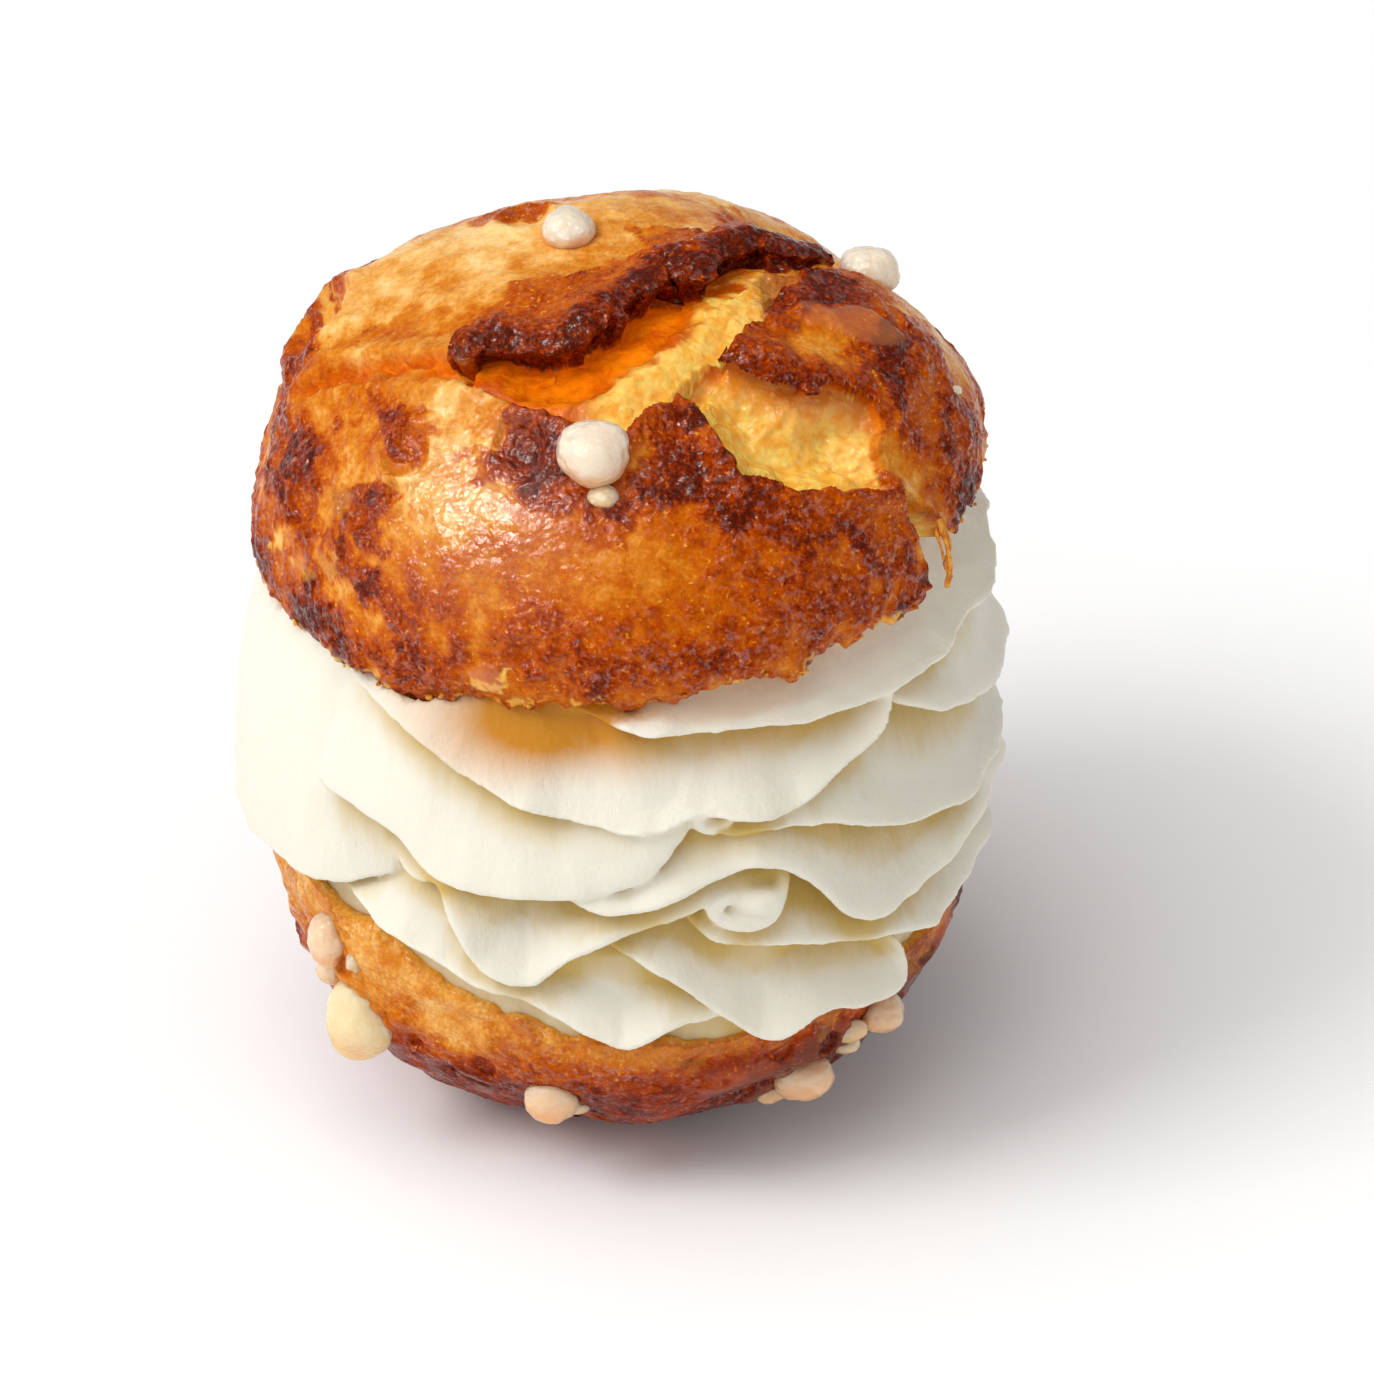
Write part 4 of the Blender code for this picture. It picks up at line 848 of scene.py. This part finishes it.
# Torn strings of crumb that hang from the open place at the right: points and thickness.
STRANDS = [([(23.7, -14.6, 56.8), (24.3, -15.4, 55.0), (24.6, -15.7, 53.4), (24.4, -15.9, 51.7)], 0.20),
           ([(24.1, -14.4, 56.2), (24.6, -15.2, 54.8), (24.2, -15.6, 53.6), (24.7, -15.7, 52.4)], 0.15),
           ([(23.4, -14.8, 56.2), (23.9, -15.5, 54.9), (24.1, -15.7, 54.0)], 0.12)]


def strand(path, radius):
    rows = fine_curve(path, 12)
    turn = np.linspace(0.0, 2.0 * np.pi, 8, endpoint=False)
    tangent = np.gradient(rows, axis=0)
    tangent /= np.linalg.norm(tangent, axis=1, keepdims=True)
    side = np.cross(tangent, (0.0, 1.0, 0.0))
    side /= np.linalg.norm(side, axis=1, keepdims=True)
    other = np.cross(tangent, side)
    wide = radius * (1.0 + 0.3 * noise(rows, 0.9, 401))[:, None, None]
    rings = rows[:, None, :] + wide * (np.cos(turn)[:, None] * side[:, None, :] + np.sin(turn)[:, None] * other[:, None, :])
    return closed_grid(rings, rows[:1], rows[-1:])


# ---- Materials -------------------------------------------------------------------------------------------------------


class Nodes:
    """Short calls for building one material's nodes."""

    def __init__(self, name):
        self.material = bpy.data.materials.new(name)
        self.material.use_nodes = True
        self.tree = self.material.node_tree
        self.shader = self.tree.nodes["Principled BSDF"]

    def add(self, kind, **settings):
        node = self.tree.nodes.new(kind)
        for key, value in settings.items():
            setattr(node, key, value)
        return node

    def join(self, source, target):
        self.tree.links.new(source, target)

    def feed(self, socket, value):
        if isinstance(value, bpy.types.NodeSocket):
            self.join(value, socket)
        else:
            socket.default_value = (*value, 1.0) if isinstance(value, tuple) and len(value) == 3 else value

    def mask(self, name):
        return self.add("ShaderNodeAttribute", attribute_name=name).outputs["Fac"]

    def place(self):
        return self.add("ShaderNodeTexCoord").outputs["Object"]

    def noise(self, size, detail=3.0, rough=0.5, warp=0.0, stretch=(1.0, 1.0, 1.0)):
        """Noise with lumps of about size mm."""
        node = self.add("ShaderNodeTexNoise")
        scaled = self.add("ShaderNodeVectorMath", operation="MULTIPLY")
        self.join(self.place(), scaled.inputs[0])
        scaled.inputs[1].default_value = stretch
        self.join(scaled.outputs[0], node.inputs["Vector"])
        node.inputs["Scale"].default_value = 1.0 / (size * MM)
        node.inputs["Detail"].default_value = detail
        node.inputs["Roughness"].default_value = rough
        node.inputs["Distortion"].default_value = warp
        return node.outputs["Fac"]

    def cells(self, size, feature="F1"):
        node = self.add("ShaderNodeTexVoronoi", feature=feature)
        self.join(self.place(), node.inputs["Vector"])
        node.inputs["Scale"].default_value = 1.0 / (size * MM)
        return node.outputs["Distance"]

    def span(self, value, low, high, start=0.0, end=1.0):
        node = self.add("ShaderNodeMapRange", interpolation_type="SMOOTHSTEP")
        self.feed(node.inputs["Value"], value)
        for key, number in (("From Min", low), ("From Max", high), ("To Min", start), ("To Max", end)):
            node.inputs[key].default_value = number
        return node.outputs["Result"]

    def math(self, operation, a, b=0.0, c=0.0):
        node = self.add("ShaderNodeMath", operation=operation)
        for socket, value in zip(node.inputs, (a, b, c)):
            self.feed(socket, value)
        return node.outputs[0]

    def mix(self, amount, a, b, blend="MIX"):
        node = self.add("ShaderNodeMix", data_type="RGBA", blend_type=blend)
        self.feed(node.inputs["Factor"], amount)
        self.feed(node.inputs[6], a)
        self.feed(node.inputs[7], b)
        return node.outputs[2]

    def mixed(self, amount, a, b):
        """A number between a and b."""
        node = self.add("ShaderNodeMix", data_type="FLOAT")
        self.feed(node.inputs["Factor"], amount)
        self.feed(node.inputs[2], a)
        self.feed(node.inputs[3], b)
        return node.outputs[0]

    def ramp(self, value, stops):
        node = self.add("ShaderNodeValToRGB")
        self.feed(node.inputs["Fac"], value)
        band = node.color_ramp.elements
        band.remove(band[1])
        band[0].color = (*stops[0][1], 1.0)
        for at, colour in stops[1:]:
            band.new(at).color = (*colour, 1.0)
        return node.outputs["Color"]

    def bump(self, height, strength, distance_mm, normal=None):
        node = self.add("ShaderNodeBump")
        self.feed(node.inputs["Strength"], strength)
        node.inputs["Distance"].default_value = distance_mm * MM
        self.join(height, node.inputs["Height"])
        if normal is not None:
            self.join(normal, node.inputs["Normal"])
        return node.outputs["Normal"]

    def set(self, **values):
        for key, value in values.items():
            self.feed(self.shader.inputs[key.replace("_", " ")], value)


BROWNING = [(0.00, (0.94, 0.62, 0.25)), (0.16, (0.84, 0.42, 0.10)), (0.32, (0.68, 0.23, 0.016)),
            (0.46, (0.56, 0.120, 0.001)), (0.62, (0.43, 0.058, 0.0)), (0.80, (0.25, 0.020, 0.0)),
            (0.92, (0.13, 0.009, 0.001)), (1.00, (0.08, 0.006, 0.002))]


def crust_look(name, gloss):
    n = Nodes(name)
    tone, gold, orange_shade_and_glow, glaze, rough, painted_emission, wet = (n.mask(name) for name in CAP_MASKS)
    fine = n.noise(1.0, 5.0, 0.62)
    speck = n.noise(0.33, 3.0, 0.6)
    patchy = n.noise(2.6, 5.0, 0.6, 0.8)
    shade = n.math("MULTIPLY_ADD", n.math("SUBTRACT", fine, 0.5), n.mixed(rough, 0.24, 0.50), tone)
    shade = n.math("MULTIPLY_ADD", n.math("SUBTRACT", speck, 0.5), n.mixed(rough, 0.34, 0.80), shade)
    shade = n.math("MULTIPLY_ADD", n.math("SUBTRACT", patchy, 0.5), 0.14, shade)
    fleck = n.math("MULTIPLY", n.span(n.noise(0.42, 2.0, 0.5), 0.61, 0.72, 0.0, 0.3), n.span(tone, 0.35, 0.6))
    shade = n.math("SUBTRACT", shade, fleck)
    colour = n.ramp(shade, BROWNING)
    crumb = n.mix(n.span(fine, 0.35, 0.65), (1.0, 0.66, 0.15), (0.92, 0.42, 0.035))
    colour = n.mix(n.span(n.math("MULTIPLY_ADD", n.math("SUBTRACT", fine, 0.5), 0.5, gold), 0.15, 0.85), colour, crumb)
    # Painted shade and glow: deep orange where the crust lies shaded under overhangs and lit through from behind,
    # partly its own colour.
    orange_shade_colour = n.mix(n.span(patchy, 0.35, 0.65), (0.90, 0.22, 0.002), (0.58, 0.09, 0.001))
    colour = n.mix(n.span(orange_shade_and_glow, 0.1, 0.9), colour, orange_shade_colour)
    colour = n.mix(n.span(glaze, 0.2, 1.0, 0.0, 0.4), colour, (0.58, 0.18, 0.05))
    smooth = n.span(glaze, 0.1, 0.6)
    leather = n.math("MULTIPLY_ADD", n.cells(0.75), -0.9, n.noise(0.9, 4.0, 0.65, 0.6))
    leather = n.math("MULTIPLY_ADD", n.cells(0.36), -0.35, leather)
    normal = n.bump(leather, n.mixed(smooth, n.mixed(rough, 0.36, 0.5), 0.05), 0.30)
    pores = n.math("MULTIPLY", n.cells(0.5), n.span(rough, 0.1, 0.9))
    normal = n.bump(pores, 0.7, -0.2, normal)
    shine = n.span(fine, 0.3, 0.7, 0.18, 0.30)
    sharp = n.bump(leather, n.mixed(smooth, n.mixed(rough, 0.38, 0.60), 0.05), 0.30)
    sharp = n.bump(pores, 0.7, -0.2, sharp)
    glints = n.math("MULTIPLY", n.span(n.noise(0.6, 3.0, 0.6), 0.52, 0.60), n.mixed(rough, 0.05, 0.75))
    # The emission paints a glow into the fissure's floor, standing in for light shining through the thin crust.
    n.set(Base_Color=colour, Normal=normal, Coat_Normal=sharp, Roughness=n.mixed(smooth, shine, 0.16),
          Specular_IOR_Level=0.16 * gloss,
          Subsurface_Weight=n.span(n.math("MAXIMUM", orange_shade_and_glow, gold), 0.0, 1.0, 0.1, 0.6), Subsurface_Scale=0.0012,
          IOR=1.45, Specular_Tint=(1.0, 0.62, 0.26), Coat_Roughness=0.10, Coat_IOR=1.85,
          Coat_Weight=n.math("MAXIMUM", n.math("MAXIMUM", n.math("MULTIPLY", smooth, 0.4 * gloss), wet),
                             n.math("MAXIMUM", n.math("MULTIPLY", gold, 0.3), glints)),
          Emission_Color=(1.0, 0.15, 0.0), Emission_Strength=n.math("MULTIPLY", painted_emission, 0.22))
    n.shader.inputs["Subsurface Radius"].default_value = (1.0, 0.30, 0.05)
    return n.material


def cream_look():
    n = Nodes("whipped_cream")
    crease_shade, bounce_glow = n.mask("crease_shade"), n.mask("bounce_glow")
    # Painted shade in the creases, mixed into the cream's colour.
    colour = n.mix(crease_shade, (0.83, 0.79, 0.675), (0.62, 0.42, 0.10))
    # Painted bounce light: orange where the crust would throw its light onto the cream.
    colour = n.mix(bounce_glow, colour, (0.57, 0.225, 0.004))
    normal = n.bump(n.noise(0.9, 4.0, 0.65, stretch=(1.0, 1.0, 0.35)), 0.7, 0.2)
    normal = n.bump(n.noise(0.4, 3.0, 0.6), 0.35, 0.08, normal)
    n.set(Base_Color=colour, Normal=normal, Roughness=0.48, Subsurface_Weight=0.22, Subsurface_Scale=0.001, IOR=1.42)
    n.shader.inputs["Subsurface Radius"].default_value = (1.0, 0.8, 0.45)
    return n.material


def crumb_look(name, light, dark):
    n = Nodes(name)
    colour = n.mix(n.span(n.noise(0.9, 3.0), 0.35, 0.65), light, dark)
    n.set(Base_Color=colour, Normal=n.bump(n.noise(0.25, 2.0), 0.6, 0.1), Roughness=0.35, Specular_Tint=(1.0, 0.7, 0.35),
          Subsurface_Weight=0.3, Subsurface_Scale=0.001)
    n.shader.inputs["Subsurface Radius"].default_value = (1.0, 0.4, 0.1)
    return n.material


def sugar_look(name, dry, melted):
    n = Nodes(name)
    cloud = n.math("SUBTRACT", n.noise(1.1, 4.0, 0.6), 0.5)
    colour = n.mix(n.math("MULTIPLY_ADD", cloud, 0.9, n.mask("melt")), dry, melted)
    grain = n.math("MULTIPLY_ADD", n.cells(0.55), -0.8, n.noise(0.4, 3.0, 0.6))
    n.set(Base_Color=colour, Normal=n.bump(grain, 0.6, 0.16), Coat_Normal=n.bump(grain, 0.8, 0.2), Roughness=0.35,
          Subsurface_Weight=0.9, Subsurface_Scale=0.0024, Transmission_Weight=0.08, IOR=1.4, Coat_Weight=1.0,
          Coat_Roughness=0.12)
    n.shader.inputs["Subsurface Radius"].default_value = (1.0, 0.8, 0.6)
    return n.material


# ---- Making the puff -------------------------------------------------------------------------------------------------


def stand_for(piece, slot, *nodes):
    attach(piece, "root")
    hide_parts(*nodes)


base = place("crust_base", base_mesh(), crust_look("base_crust", 0.5))
own = vertices(base.data)
low, high = (np.array(corner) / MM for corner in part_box("choux_base"))
SHIFT = np.array([*(0.5 * (low + high)[:2] - 0.5 * (own.min(axis=0) + own.max(axis=0))[:2]), low[2]])
cap = place("crust_cap", cap_mesh(), crust_look("cap_crust", 1.0))
cream = cream_piece(cream_look())
for piece in (base, cap, cream):
    set_vertices(piece.data, vertices(piece.data) + SHIFT)
stand_for(base, "choux_crust", "choux_base")
stand_for(cap, "choux_crust", "choux_cap")
stand_for(cream, "whipped_cream", "cream_filling")
pale = sugar_look("pale_sugar", (0.97, 0.76, 0.60), (0.92, 0.50, 0.25))
melted = sugar_look("melted_sugar", (0.94, 0.62, 0.40), (0.86, 0.42, 0.16))
amber = sugar_look("amber_sugar", (0.96, 0.74, 0.44), (0.93, 0.54, 0.15))
for number, (group, label) in enumerate([("cap", k) for k in CAP_NIBS] + [("base", k) for k in BASE_NIBS]):
    node = f"sugar_{group}_{label}"
    low, high = (np.array(corner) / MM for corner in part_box(node))
    nib = place(f"nib_{group}_{label}", nib_mesh(node, low, high, 300 + 7 * number),
                amber if label == "left_drop" else melted if group == "base" else pale)
    stand_for(nib, "pearl_sugar", node)

beads = sugar_beads(melted)
stand_for(beads, "pearl_sugar")

crumb_gold = crumb_look("crumb_gold", (0.86, 0.40, 0.05), (0.50, 0.12, 0.005))
spots, sizes = rim_crumbs(120, 501)
crumbs = scattered("rim_crumbs", spots, sizes, crumb_gold, 502)
stand_for(crumbs, "choux_crust")
strings = []
for path, radius in STRANDS:
    strings.append(strand(path, radius))
strings = join_parts(strings)
threads = place("torn_strands", mesh_from("torn_strands", strings[0] + SHIFT, strings[1]), crumb_gold)
stand_for(threads, "choux_crust")

# ---- Floor, light and camera -----------------------------------------------------------------------------------------


def floor():
    n = Nodes("pale_floor")
    n.set(Base_Color=(1.0, 1.0, 1.0), Roughness=0.9)
    mesh = bpy.data.meshes.new("floor")
    mesh.from_pydata([(-3, -3, 0), (3, -3, 0), (3, 3, 0), (-3, 3, 0)], [], [(0, 1, 2, 3)])
    obj = place("floor", mesh, n.material)


def softbox(name, towards, distance, size, power, colour=(1.0, 1.0, 1.0)):
    light = bpy.data.lights.new(name, "AREA")
    light.shape = "SQUARE"
    light.size = size
    light.energy = power
    light.color = colour
    obj = bpy.data.objects.new(name, light)
    bpy.context.scene.collection.objects.link(obj)
    way = Vector(towards).normalized()
    obj.location = way * distance + Vector((0.0, 0.0, 0.03))
    obj.rotation_euler = way.to_track_quat("Z", "Y").to_euler()


ELEVATION = 34.0
DISTANCE = 0.45
TARGET = Vector((5.1, 0.0, 32.0)) * MM + Vector(SHIFT) * MM
LENS = 150.3


def camera():
    data = bpy.data.cameras.new("camera")
    data.lens = LENS
    data.sensor_width = 36.0
    data.clip_start = 0.01
    obj = bpy.data.objects.new("camera", data)
    bpy.context.scene.collection.objects.link(obj)
    tilt = np.radians(ELEVATION)
    obj.location = TARGET + Vector((0.0, -np.cos(tilt), np.sin(tilt))) * DISTANCE
    obj.rotation_euler = (np.radians(90.0 - ELEVATION), 0.0, 0.0)
    bpy.context.scene.camera = obj


floor()
softbox("key", (-0.63, -0.26, 0.73), 2.2, 0.8, 19.0)
softbox("overhead", (-0.40, -0.22, 0.89), 2.2, 2.4, 30.0)
softbox("fill", (-0.2, -0.9, 0.35), 2.0, 1.2, 1.5)
softbox("side", (0.85, -0.35, 0.40), 2.2, 1.6, 5.0)
world = bpy.data.worlds.new("studio")
world.use_nodes = True
world.node_tree.nodes["Background"].inputs["Color"].default_value = (1.0, 1.0, 1.0, 1.0)
world.node_tree.nodes["Background"].inputs["Strength"].default_value = 0.36
bpy.context.scene.world = world
bpy.context.scene.view_settings.view_transform = "Standard"
camera()
